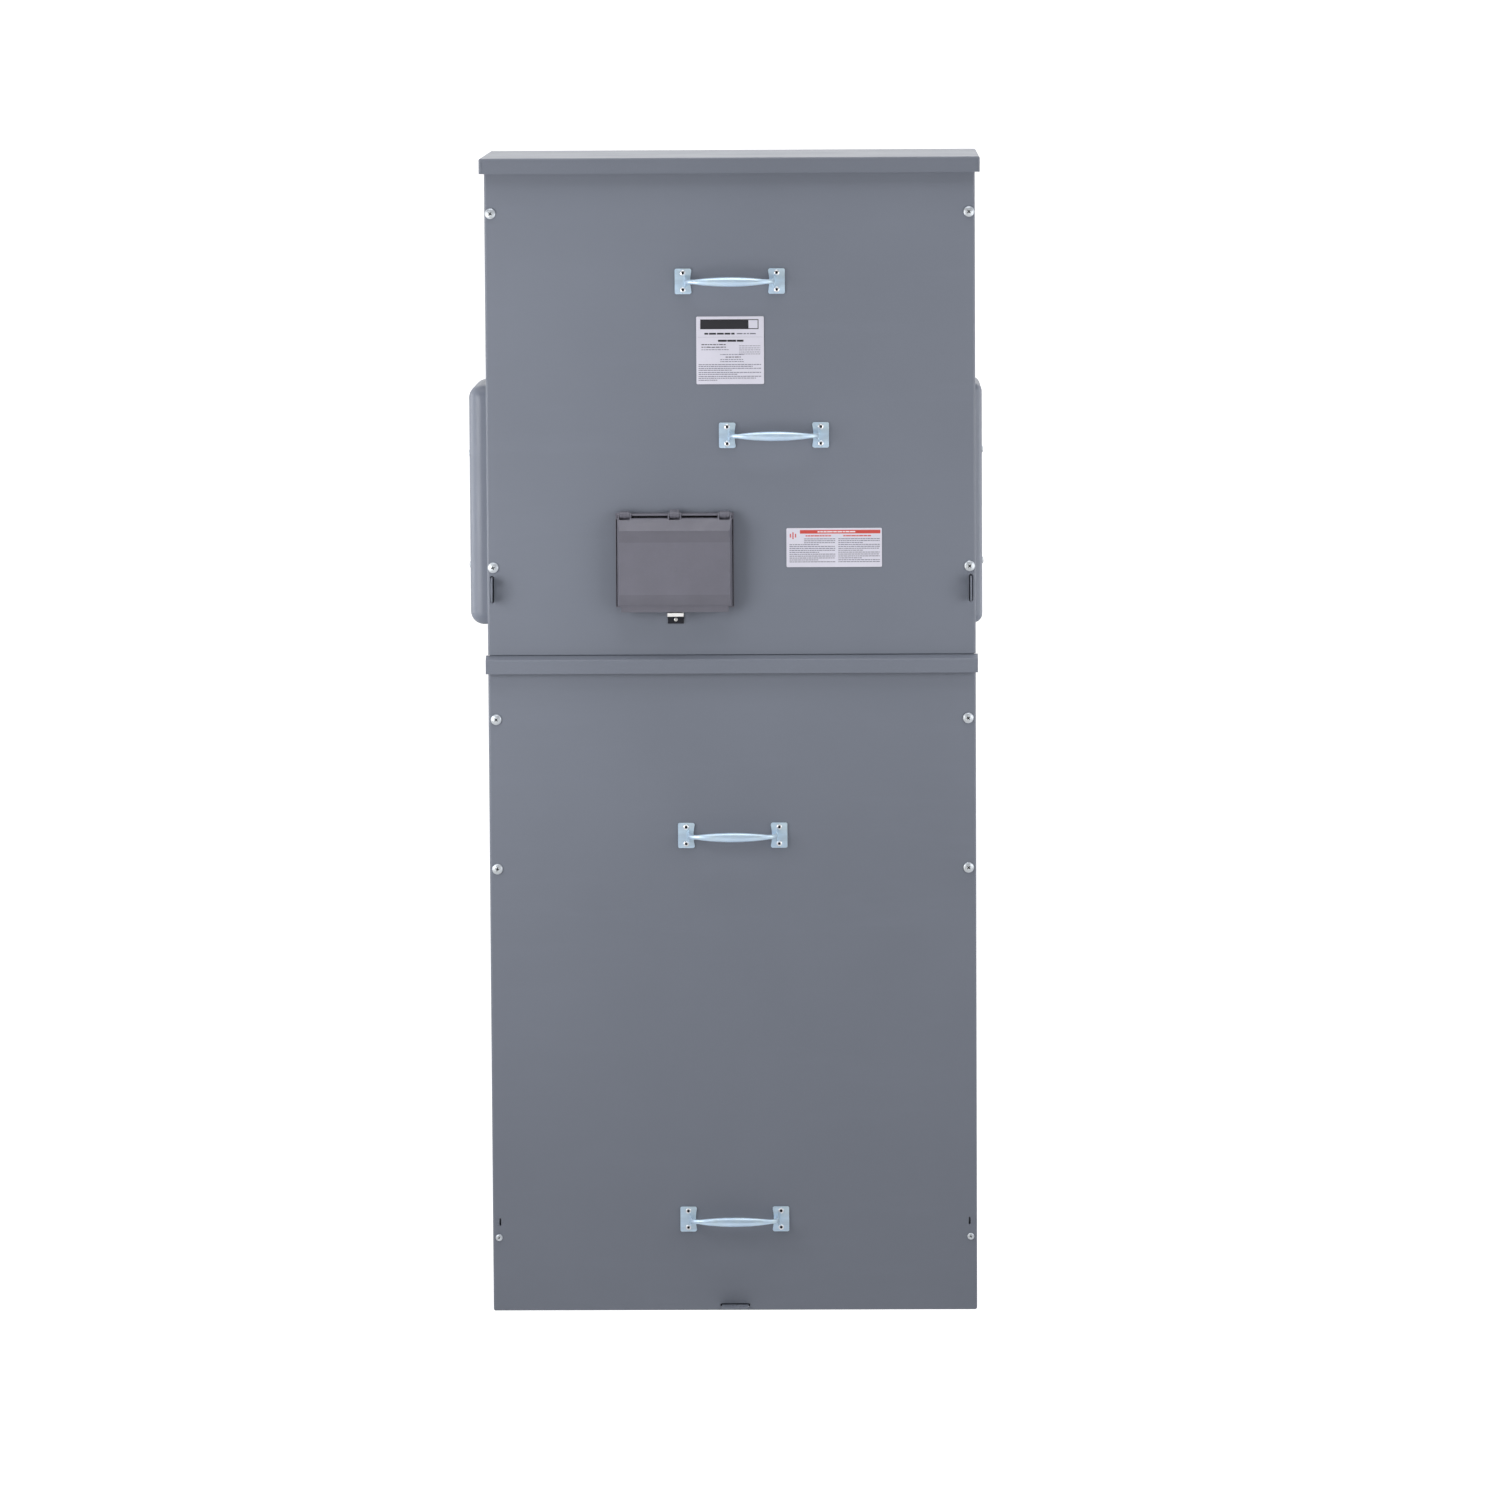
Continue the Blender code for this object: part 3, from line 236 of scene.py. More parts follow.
class Finish:
    """A Principled material that is put together one node at a time."""

    def __init__(self, name, roughness, metallic=0.0):
        self.material = bpy.data.materials.new(name)
        self.material.use_nodes = True
        self.tree = self.material.node_tree
        self.shader = self.tree.nodes["Principled BSDF"]
        self.shader.inputs["Roughness"].default_value = roughness
        self.shader.inputs["Metallic"].default_value = metallic
        self.place = self.tree.nodes.new("ShaderNodeTexCoord").outputs["Object"]
        self.relief = None

    def put(self, socket, value):
        if isinstance(value, bpy.types.NodeSocket):
            self.tree.links.new(value, socket)
        else:
            socket.default_value = (*value, 1.0) if socket.type == "RGBA" and len(value) == 3 else value

    def node(self, kind, inputs=None, **settings):
        made = self.tree.nodes.new("ShaderNode" + kind)
        for key, value in settings.items():
            setattr(made, key, value)
        for key, value in (inputs or {}).items():
            self.put(made.inputs[key], value)
        return made

    def stretched(self, x, y, z):
        """The object's own coordinates, scaled along each axis."""
        return self.node("Mapping", {"Vector": self.place, "Scale": (x, y, z)}).outputs[0]

    def noise(self, scale, detail=2.0, vector=None, rough=0.5):
        return self.node("TexNoise", {"Vector": vector or self.place, "Scale": scale, "Detail": detail,
                                      "Roughness": rough}).outputs["Fac"]

    def grain(self, scale, vector=None):
        return self.node("TexVoronoi", {"Vector": vector or self.place, "Scale": scale}).outputs["Distance"]

    def span(self, value, low, high, start=0.3, end=0.7):
        """Maps a noise value from start..end to low..high."""
        return self.node("MapRange", {"Value": value, "From Min": start, "From Max": end,
                                      "To Min": low, "To Max": high}).outputs["Result"]

    def math(self, operation, a, b):
        made = self.node("Math", operation=operation)
        self.put(made.inputs[0], a)
        self.put(made.inputs[1], b)
        return made.outputs[0]

    def mix(self, share, first, second):
        made = self.node("Mix", {"Factor": share}, data_type="RGBA")
        self.put(made.inputs[6], first)
        self.put(made.inputs[7], second)
        return made.outputs[2]

    def colour(self, value):
        self.put(self.shader.inputs["Base Color"], value)

    def rough(self, value):
        self.put(self.shader.inputs["Roughness"], value)

    def bump(self, height, distance, strength=1.0):
        """Adds a layer of relief on top of what is there."""
        made = self.node("Bump", {"Height": height, "Distance": distance, "Strength": strength})
        if self.relief:
            self.tree.links.new(self.relief, made.inputs["Normal"])
        self.relief = made.outputs["Normal"]
        self.tree.links.new(self.relief, self.shader.inputs["Normal"])


def scaled(colour, factor):
    return tuple(min(1.0, c * factor) for c in colour)


def powder_coat(name, colour, roughness):
    """Satin powder coat: orange peel, a soft cloudy tone, fine dust and faint wipe marks."""
    look = Finish(name, roughness)
    cloud = look.span(look.noise(3.1, 3.0), 0.0, 1.0)
    base = look.mix(cloud, scaled(colour, 0.965), scaled(colour, 1.035))
    dust = look.span(look.noise(950, 2.0), 0.0, 0.22, 0.56, 0.74)
    base = look.mix(dust, base, scaled(colour, 1.35))
    wipe = look.span(look.noise(5.0, 4.0, look.stretched(1.0, 1.0, 7.0), 0.62), 0.0, 0.5, 0.52, 0.80)
    look.colour(look.mix(wipe, base, scaled(colour, 1.06)))
    look.rough(look.span(look.noise(9.0, 5.0, rough=0.6), roughness - 0.045, roughness + 0.055))
    look.bump(look.noise(520, 1.5), 0.00010, 0.35)
    look.bump(look.noise(2300, 1.0), 0.00003, 0.30)
    return look.material


def moulding(name, colour, roughness, texture=2600, depth=0.00005):
    """Moulded plastic with a spark-eroded surface, slightly chalky where it has weathered."""
    look = Finish(name, roughness)
    cloud = look.span(look.noise(28, 4.0, rough=0.6), 0.0, 1.0)
    base = look.mix(cloud, scaled(colour, 0.95), scaled(colour, 1.06))
    chalk = look.span(look.noise(900, 3.0), 0.0, 0.30, 0.55, 0.75)
    look.colour(look.mix(chalk, base, scaled(colour, 1.30)))
    look.rough(look.span(look.noise(60, 3.0), roughness - 0.05, roughness + 0.06))
    look.bump(look.grain(texture), depth, 0.5)
    return look.material


def zinc_plate(name, colour, roughness):
    """Clear-passivated zinc: a milky blue cast with faint straw patches and drawn streaks."""
    look = Finish(name, roughness, metallic=0.6)
    streak = look.noise(60, 4.0, look.stretched(0.35, 3.0, 3.0), 0.6)
    patch = look.span(look.noise(46, 3.0), 0.0, 1.0, 0.40, 0.66)
    blue = look.mix(look.span(streak, 0.0, 1.0), scaled(colour, 0.90), scaled(colour, 1.08))
    straw = (colour[0] * 1.10, colour[1] * 1.02, colour[2] * 0.86)
    look.colour(look.mix(look.math("MULTIPLY", patch, 0.45), blue, straw))
    look.rough(look.span(look.noise(130, 4.0), roughness - 0.07, roughness + 0.10))
    look.bump(streak, 0.00006, 0.25)
    look.bump(look.noise(1500, 2.0), 0.00002, 0.3)
    return look.material


def bare_metal(name, colour, roughness, lay=(1.0, 1.0, 18.0)):
    """Brushed or drawn metal with fingermarks; lay stretches the brush lines."""
    look = Finish(name, roughness, metallic=1.0)
    lines = look.noise(90, 5.0, look.stretched(*lay), 0.65)
    marks = look.span(look.noise(35, 4.0), 0.0, 0.6, 0.45, 0.70)
    base = look.mix(look.span(lines, 0.0, 1.0), scaled(colour, 0.88), scaled(colour, 1.08))
    look.colour(look.mix(marks, base, scaled(colour, 0.80)))
    look.rough(look.span(look.noise(70, 3.0), roughness - 0.06, roughness + 0.12))
    look.bump(lines, 0.00005, 0.3)
    return look.material


def fibre_sheet(name, colour):
    """Glass-polyester board: short fibres just under a resin skin."""
    look = Finish(name, 0.5)
    fibres = look.noise(260, 5.0, look.stretched(1.0, 1.0, 0.22), 0.7)
    across = look.noise(240, 5.0, look.stretched(0.22, 1.0, 1.0), 0.7)
    mask = look.math("MAXIMUM", look.span(fibres, 0.0, 1.0, 0.50, 0.72),
                     look.span(across, 0.0, 1.0, 0.50, 0.72))
    look.colour(look.mix(mask, colour, scaled(colour, 1.7)))
    look.rough(look.span(mask, 0.42, 0.60, 0.0, 1.0))
    look.bump(mask, 0.00005, 0.4)
    return look.material


def film(name, colour, roughness):
    """Printed label film or ink: a smooth skin with a faint grain and a little rub wear."""
    look = Finish(name, roughness)
    rub = look.span(look.noise(210, 4.0), 0.0, 0.35, 0.56, 0.78)
    base = look.mix(look.span(look.noise(14, 3.0), 0.0, 1.0), scaled(colour, 0.97), scaled(colour, 1.02))
    look.colour(look.mix(rub, base, scaled(colour, 0.90)))
    look.rough(look.span(look.noise(90, 2.0), roughness - 0.05, roughness + 0.05))
    look.bump(look.noise(1900, 1.0), 0.00001, 0.3)
    return look.material


def pale_floor(name):
    """A pale sweep that burns out to white where the camera looks at it."""
    look = Finish(name, 0.7)
    look.colour(look.mix(look.span(look.noise(0.8, 3.0), 0.0, 1.0), (0.86, 0.86, 0.865), (0.90, 0.90, 0.90)))
    look.bump(look.noise(30, 2.0), 0.001, 0.1)
    look.shader.inputs["Emission Color"].default_value = (1.0, 1.0, 1.0, 1.0)
    seen = look.node("LightPath").outputs["Is Camera Ray"]
    look.put(look.shader.inputs["Emission Strength"], look.math("MULTIPLY", seen, FLOOR_GLOW))
    return look.material


GREY = (0.164, 0.181, 0.222)
DOOR_GREY = (0.145, 0.143, 0.176)
LOOKS = {
    "grey_enamel": powder_coat("grey_enamel_coat", GREY, 0.47),
    "side_cover_enamel": powder_coat("side_cover_coat", scaled(GREY, 1.16), 0.42),
    # The rain cap's enamel is the same grey painted darker as shade, so its face comes out darker than the
    # cover below.
    "cap_enamel": powder_coat("cap_coat", scaled(GREY, 0.92), 0.45),
    "grey_moulding": moulding("grey_moulding", DOOR_GREY, 0.46),
    "zinc_screw": zinc_plate("zinc_screw", (0.60, 0.65, 0.72), 0.40),
    "zinc_plate": zinc_plate("zinc_plate", (0.60, 0.76, 0.93), 0.42),
    "stainless_steel": bare_metal("stainless_steel", (0.72, 0.71, 0.69), 0.24),
    "tinned_copper": bare_metal("tinned_copper", (0.70, 0.66, 0.60), 0.30),
    "aluminium_lug": bare_metal("aluminium_lug", (0.74, 0.74, 0.75), 0.36, (14.0, 14.0, 1.0)),
    "black_moulding": moulding("black_moulding", (0.028, 0.028, 0.030), 0.42, 1800, 0.00008),
    "red_insulator": fibre_sheet("red_insulator", (0.26, 0.045, 0.030)),
    "red_button": moulding("red_button", (0.50, 0.035, 0.022), 0.30, 3000, 0.00002),
    "white_label": film("white_label", (0.66, 0.65, 0.74), 0.42),
    "aluminium_rivet": bare_metal("aluminium_rivet", (0.88, 0.89, 0.92), 0.34, (1.0, 1.0, 1.0)),
    # A darker copy of the door's moulding, painted as shade on its lower faces and its lip.
    "door_undercut": moulding("door_undercut", scaled(DOOR_GREY, 0.87), 0.60),
    # Near black, painted as shadow in the gaps around the breaker door.
    "rubber_seal": moulding("rubber_seal", (0.018, 0.017, 0.021), 0.75),
    # Near black, painted as shade inside screw recesses and rivet holes and under the hasp's shelf.
    "dark_steel": bare_metal("dark_steel", (0.044, 0.045, 0.054), 0.48),
    # Near-white coat for the hasp's shelf: painted highlight standing for the light that its steel catches
    # and reflects.
    "bright_steel": powder_coat("bright_steel", (0.80, 0.79, 0.78), 0.32),
    "black_ink": film("black_ink", (0.013, 0.013, 0.018), 0.55),
    "grey_ink": film("grey_ink", (0.15, 0.15, 0.19), 0.50),
    "red_ink": film("red_ink", (0.58, 0.075, 0.06), 0.40),
    "white_ink": film("white_ink", (0.80, 0.80, 0.84), 0.45),
}


# ---- mesh tools

def up(height):
    """World height of a height above the bottom edge."""
    return BASE + height


def out(reach):
    """World Y of a reach in front of the covers' face."""
    return FACE - reach


def middle_of(node):
    return tuple((low + high) / 2 for low, high in zip(*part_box(node)))


def arc(centre, radius, start, end, steps):
    turns = (math.radians(start + (end - start) * i / steps) for i in range(steps + 1))
    return [(centre[0] + radius * math.cos(t), centre[1] + radius * math.sin(t)) for t in turns]


def rounded(low, high, radius, steps=6):
    """The outline of a rectangle with round corners."""
    (x0, y0), (x1, y1) = low, high
    return [*arc((x1 - radius, y1 - radius), radius, 0, 90, steps),
            *arc((x0 + radius, y1 - radius), radius, 90, 180, steps),
            *arc((x0 + radius, y0 + radius), radius, 180, 270, steps),
            *arc((x1 - radius, y0 + radius), radius, 270, 360, steps)]


def folded(path, thickness, bend=BEND, steps=8):
    """The outline of a sheet folded along a path of corners on its middle plane."""
    points = [Vector(p) for p in path]
    middle = [(points[0], (points[1] - points[0]).normalized())]
    for before, corner, after in zip(points, points[1:], points[2:]):
        into, leaving = (corner - before).normalized(), (after - corner).normalized()
        turn = into.angle_signed(leaving)
        start = corner - into * bend * math.tan(abs(turn) / 2)
        side = Vector((into.y, -into.x)) * math.copysign(bend, turn)
        for i in range(steps + 1):
            turned = Matrix.Rotation(-turn * i / steps, 2)
            middle.append((start + side - turned @ side, turned @ into))
    middle.append((points[-1], (points[-1] - points[-2]).normalized()))
    left = [p + Vector((-d.y, d.x)) * thickness / 2 for p, d in middle]
    right = [p - Vector((-d.y, d.x)) * thickness / 2 for p, d in middle]
    return [tuple(p) for p in left + right[::-1]]


def add_loft(bm, rings):
    loops = [[bm.verts.new(p) for p in ring] for ring in rings]
    for near, far in zip(loops, loops[1:]):
        for i in range(len(near)):
            j = (i + 1) % len(near)
            bm.faces.new((near[i], near[j], far[j], far[i]))
    bm.faces.new(list(reversed(loops[0])))
    bm.faces.new(loops[-1])


def add_prism(bm, outline, axis, start, end):
    """A flat outline swept along one axis; it gives the other two in X, Y, Z order."""
    index = "xyz".index(axis)
    rings = []
    for along in (start, end):
        rings.append([(*p[:index], along, *p[index:]) for p in outline])
    add_loft(bm, rings)


def add_box(bm, low, high):
    add_prism(bm, [(low[0], low[1]), (high[0], low[1]), (high[0], high[1]), (low[0], high[1])],
              "z", low[2], high[2])


def add_turned(bm, profile, centre, segments=32):
    """A shape turned about the Y axis. The profile runs from pole to pole as (radius, y)."""
    rings = []
    for radius, along in profile[1:-1]:
        turns = (2 * math.pi * i / segments for i in range(segments))
        rings.append([bm.verts.new((centre[0] + radius * math.cos(t), along,
                                    centre[1] + radius * math.sin(t))) for t in turns])
    poles = [bm.verts.new((centre[0], profile[i][1], centre[1])) for i in (0, -1)]
    for i in range(segments):
        j = (i + 1) % segments
        bm.faces.new((poles[0], rings[0][i], rings[0][j]))
        bm.faces.new((poles[1], rings[-1][j], rings[-1][i]))
        for near, far in zip(rings, rings[1:]):
            bm.faces.new((near[i], far[i], far[j], near[j]))


def settle(piece):
    """Applies every modifier of a piece."""
    bpy.context.view_layer.update()
    graph = bpy.context.evaluated_depsgraph_get()
    mesh = bpy.data.meshes.new_from_object(piece.evaluated_get(graph), depsgraph=graph)
    piece.modifiers.clear()
    piece.data = mesh


def linked(name, data):
    """A new object in the scene."""
    made = bpy.data.objects.new(name, data)
    bpy.context.scene.collection.objects.link(made)
    return made


def bare(name, bm):
    """An object from a bmesh whose normals are right, not yet a piece."""
    mesh = bpy.data.meshes.new(name)
    bm.to_mesh(mesh)
    bm.free()
    return linked(name, mesh)


def make(name, bm):
    """An object from a bmesh, its faces turned out, not yet a piece."""
    bmesh.ops.recalc_face_normals(bm, faces=bm.faces)
    return bare(name, bm)


def mesh_of(piece):
    """Takes the mesh of an object that was only needed to form it."""
    mesh = piece.data
    bpy.data.objects.remove(piece)
    return mesh


def carve(piece, bm, operation="DIFFERENCE"):
    """Cuts a bmesh out of a piece, or joins it on."""
    tool = make(piece.name + "_tool", bm)
    boolean = piece.modifiers.new("Boolean", "BOOLEAN")
    boolean.operation = operation
    boolean.solver = "EXACT"
    boolean.object = tool
    settle(piece)
    bpy.data.objects.remove(tool)


def edge(piece, width, segments=2, angle=32):
    """Breaks the sharp edges by a small width and shades the rest smooth."""
    if width:
        bevel = piece.modifiers.new("Bevel", "BEVEL")
        bevel.width = width
        bevel.segments = segments
        bevel.limit_method = "ANGLE"
        bevel.angle_limit = math.radians(angle)
        settle(piece)
    piece.data.shade_smooth()
    piece.data.set_sharp_from_angle(angle=math.radians(angle))
    weighted = piece.modifiers.new("WeightedNormal", "WEIGHTED_NORMAL")
    weighted.keep_sharp = True
    settle(piece)


def dress(piece, look, body):
    """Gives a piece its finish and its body."""
    piece.data.materials.clear()
    piece.data.materials.append(LOOKS[look])
    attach(piece, body)


def stands_for(piece, node, look=None):
    """Dresses a piece that replaces one CAD node in its slot's finish, or in the look given, puts it in that
    node's body and hides the node.
    """
    slot = SLOT_OF[node]
    dress(piece, look or slot, BODY_OF[node])
    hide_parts(node)


def softened(node, width, segments=2, extra=None):
    """A finer copy of a CAD node: the same solid with its edges rounded."""
    piece = frame["nodes"][node].copy()
    piece.data = piece.data.copy()
    piece.parent = None
    for key in list(piece.keys()):
        del piece[key]
    piece.name = node + "_fine"
    bpy.context.scene.collection.objects.link(piece)
    bm = bmesh.new()
    bm.from_mesh(piece.data)
    bmesh.ops.remove_doubles(bm, verts=bm.verts, dist=1e-6)
    bmesh.ops.dissolve_limit(bm, angle_limit=math.radians(1.5), verts=bm.verts, edges=bm.edges)
    bm.to_mesh(piece.data)
    bm.free()
    if extra:
        carve(piece, extra, "UNION")
    edge(piece, width, segments, 30)
    stands_for(piece, node)
    return piece


# ---- sheet metal

def formed_pan(low, high, open_sides, radius=BEND, steps=6, columns=0, rows=0):
    """A folded sheet as a surface: a box without its open sides, with round folds and a grid on it."""
    bm = bmesh.new()
    add_box(bm, low, high)
    bmesh.ops.recalc_face_normals(bm, faces=bm.faces)
    gone = [f for f in bm.faces if any(f.normal[axis] * sign > 0.5 for axis, sign in open_sides)]
    bmesh.ops.delete(bm, geom=gone, context="FACES")
    folds = [e for e in bm.edges if len(e.link_faces) == 2]
    bmesh.ops.bevel(bm, geom=folds, offset=radius, segments=steps, profile=0.5, affect="EDGES")
    for axis, count in ((0, columns), (2, rows)):
        normal = [0, 0, 0]
        normal[axis] = 1
        for i in range(1, count):
            point = [0, 0, 0]
            point[axis] = low[axis] + radius + (high[axis] - low[axis] - 2 * radius) * i / count
            bmesh.ops.bisect_plane(bm, geom=bm.verts[:] + bm.edges[:] + bm.faces[:], plane_co=point,
                                   plane_no=normal)
    return bm


def thicken(bm, name):
    """Turns a surface bmesh into a piece of sheet, thickened inwards."""
    piece = bare(name, bm)
    solid = piece.modifiers.new("Solidify", "SOLIDIFY")
    solid.thickness = SHEET
    solid.offset = -1
    solid.use_even_offset = True
    settle(piece)
    return piece


def ripple(bm, amount, seed):
    """The slight oil-canning of a large flat sheet, fading out towards its folds."""
    draw = random.Random(seed)
    waves = [(draw.uniform(5, 13), draw.uniform(4, 11), draw.uniform(0, 6.28)) for _ in range(4)]
    face = min(v.co.y for v in bm.verts)
    flat = [v for v in bm.verts if v.co.y < face + 1e-5]
    low = min(v.co.z for v in flat)
    high = max(v.co.z for v in flat)
    wide = max(v.co.x for v in flat)
    for v in flat:
        fade = math.sin(math.pi * (v.co.z - low) / (high - low)) ** 0.5 * (1 - (v.co.x / wide) ** 4)
        lift = sum(math.sin(a * v.co.x + b * v.co.z + c) for a, b, c in waves) / 4
        v.co.y += amount * fade * (1 + lift)


def slot_cutter(bm, x, z, half_wide, half_tall, radius=None):
    """An obround or round-cornered hole through the front sheet."""
    radius = radius or min(half_wide, half_tall) * 0.98
    outline = rounded((x - half_wide, z - half_tall), (x + half_wide, z + half_tall), radius, 5)
    add_prism(bm, outline, "y", out(PAST), out(-PAST))


def cover(node, open_sides, rows, seed, holes):
    low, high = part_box(node)
    bm = formed_pan(low, high, open_sides, columns=10, rows=rows)
    ripple(bm, OIL_CANNING, seed)
    piece = thicken(bm, node + "_sheet")
    carve(piece, holes)
    edge(piece, RAW_EDGE)
    stands_for(piece, node)


def covers():
    """The two covers, each with the slots for what comes through it."""
    holes = bmesh.new()
    slot_cutter(holes, middle_of("window_frame")[0], up(WINDOW_HEIGHT), *WINDOW_HALF, WINDOW_CORNER)
    for name in ("seal_tab_left", "seal_tab_right"):
        low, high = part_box(name)
        x, _, z = middle_of(name)
        slot_cutter(holes, x, z, SEAL_SLOT_HALF, (high.z - low.z) / 2 + SEAL_SLOT_SPARE)
    cover("upper_cover", [(1, 1), (2, 1), (2, -1)], 14, 3, holes)

    holes = bmesh.new()
    half_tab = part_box("padlock_tab")[1].x
    slot_cutter(holes, 0.0, middle_of("padlock_tab")[2] + PADLOCK_SLOT_RISE, half_tab + PADLOCK_SLOT_SPARE,
                PADLOCK_SLOT_HALF)
    low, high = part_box("small_screw_right")
    x, _, z = (low + high) / 2
    for side in (-1, 1):
        slot_cutter(holes, side * (x - SLIT_INSET), z + SLIT_ABOVE_SCREW, *SLIT_HALF)
    cover("lower_cover", [(1, 1), (2, 1)], 18, 8, holes)


def rain_cap():
    """Roof that rises towards the wall, with a lip in front and at both sides, welded at its corners."""
    low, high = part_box("rain_cap")
    top = high.z - CAP_RISE
    bm = formed_pan(low, (high.x, high.y, top), [(2, -1), (1, 1)], radius=CAP_BEND, columns=8)
    for v in bm.verts:
        share = (v.co.y - low.y) / (high.y - low.y)
        if v.co.z > top - 0.004:
            v.co.z += CAP_RISE * max(0.0, share)
    piece = thicken(bm, "rain_cap_sheet")
    seams = bmesh.new()
    for side in (-1, 1):
        x = side * (high.x - SEAM_INSET)
        add_box(seams, (x - SEAM_HALF, low.y - 0.001, low.z - PAST),
                (x + SEAM_HALF, low.y + SEAM_DEPTH, top - 0.004))
    carve(piece, seams)
    edge(piece, RAW_EDGE)
    stands_for(piece, "rain_cap", "cap_enamel")


def drip_rail():
    """The folded rail over the joint between the covers, its upright cut back beside the upper cover."""
    low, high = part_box("mid_drip_rail")
    half = SHEET / 2
    behind = high.y - half
    front = low.y + half
    path = ((behind, high.z), (behind, up(RAIL_SLOPE[1])), (front, up(RAIL_SLOPE[0])), (front, low.z))
    bm = bmesh.new()
    add_prism(bm, folded(path, SHEET, RAIL_BEND, 7), "x", low.x, high.x)
    piece = make("drip_rail_sheet", bm)
    ends = bmesh.new()
    for side in (-1, 1):
        near, far = sorted((side * (HALF_WIDTH - SHEET - RAIL_ROOM), side * (high.x + PAST)))
        add_box(ends, (near, FACE + 0.0015, up(RAIL_SLOPE[1] + RAIL_ROOM)),
                (far, FACE + 0.02, high.z + PAST))
    carve(piece, ends)
    edge(piece, 0.0005)
    stands_for(piece, "mid_drip_rail")


def shell():
    """Back, sides and front returns from one sheet, with its holes, stiffening beads and spot welds."""
    low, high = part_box("enclosure_shell")
    half, back = high.x - SHEET / 2, -SHEET / 2
    front, inner = low.y + SHEET / 2, high.x - RETURN
    path = ((-inner, front), (-half, front), (-half, back), (half, back), (half, front), (inner, front))
    bm = bmesh.new()
    add_prism(bm, folded(path, SHEET, steps=6), "z", low.z, high.z)
    piece = make("shell_sheet", bm)
    carve(piece, shell_holes(low, high))
    beads = bmesh.new()
    wide, tall = BEAD_HALF
    for height in BEAD_HEIGHTS:
        outline = rounded((-wide, up(height) - tall), (wide, up(height) + tall), 0.0078, 8)
        add_prism(beads, outline, "y", -BEAD_DEPTH, PAST)
    for place in wall_holes():
        add_prism(beads, arc(place, WALL_DIMPLE_RADIUS, 0, 352.5, 47), "y", -DIMPLE_DEPTH, PAST)
    carve(piece, beads)
    edge(piece, RAW_EDGE)
    stands_for(piece, "enclosure_shell")
    spot_welds(high.x)


def wall_holes():
    """Middles of the four holes in the back."""
    return [(side * WALL_HOLE_X, up(height)) for side in (-1, 1) for height in WALL_HOLE_HEIGHTS]


def shell_holes(low, high):
    """Bus openings, room for the sealing tabs behind the returns, wall holes and screw holes."""
    holes = bmesh.new()
    (back, foot), (front, head) = BUS_OPENING
    tab_low, tab_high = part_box("seal_tab_left")
    for side in (-1, 1):
        near, far = sorted((side * (high.x - PAST), side * (high.x + PAST)))
        add_prism(holes, rounded((back, up(foot)), (front, up(head)), BUS_OPENING_CORNER), "x", near, far)
        near, far = sorted((side * (high.x - SHEET + 0.0002), side * (high.x - SHEET - 0.0035)))
        add_box(holes, (near, low.y - 0.003, tab_low.z - 0.003), (far, low.y + PAST, tab_high.z + 0.003))
        for place in [hole for hole in wall_holes() if hole[0] * side > 0]:
            add_prism(holes, arc(place, WALL_HOLE_RADIUS, 0, 348, 29), "y", -PAST, PAST)
    for node in SCREW_NODES:
        x, _, z = middle_of(node)
        add_prism(holes, arc((x, z), SCREW_HOLE_RADIUS, 0, 345, 23), "y", low.y - 0.002, low.y + 0.006)
    return holes


def spot_welds(wall):
    """Two rows of faint round marks on each side, left out where the side covers are."""
    welds = bmesh.new()
    for side in (-1, 1):
        near, far = sorted((side * (wall - 0.0004), side * (wall + 0.00022)))
        for i in range(WELD_COUNT):
            z = up(WELD_START + WELD_PITCH * i)
            if WELD_FREE[0] < z - BASE < WELD_FREE[1]:
                continue
            for y in WELD_Y:
                add_prism(welds, arc((y, z), WELD_RADIUS, 0, 337.5, 15), "x", near, far)
    piece = make("shell_spot_welds", welds)
    edge(piece, 0.00018)
    dress(piece, "grey_enamel", "enclosure")


def side_cover(node, side, radius, inset):
    """A drawn cap over a bus opening, inset from the CAD's outer face, and its flange on the case."""
    low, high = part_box(node)
    wall = side * (WALL_HALF + GAP)
    reach = max(abs(low.x), abs(high.x)) - inset
    near, far = sorted((wall, side * reach))
    bm = formed_pan((near, low.y, low.z), (far, high.y, high.z), [(0, -side)], radius=radius, steps=9)
    piece = thicken(bm, node + "_shell")
    flange, opening = bmesh.new(), bmesh.new()
    near, far = sorted((wall, wall + side * SIDE_FLANGE))
    corner = radius * 0.9
    outer = rounded((low.y - SIDE_LIP, low.z - SIDE_LIP), (high.y + SIDE_LIP, high.z + SIDE_LIP),
                    corner + SIDE_LIP)
    add_prism(flange, outer, "x", near, far)
    plate = make(node + "_flange", flange)
    under = SHEET * 0.5
    inner = rounded((low.y + under, low.z + under), (high.y - under, high.z - under), corner)
    add_prism(opening, inner, "x", near - PAST, far + PAST)
    carve(plate, opening)
    edge(plate, 0.0003)
    edge(piece, RAW_EDGE)
    dress(plate, "side_cover_enamel", "enclosure")
    stands_for(piece, node)


# ---- fittings

def domed(radius, seat, crown, step, count):
    """The profile of a round head from its rim up, in steps of a few degrees."""
    turns = (math.radians(step * i) for i in range(count))
    return [(radius * math.cos(a), seat - crown * math.sin(a)) for a in turns]


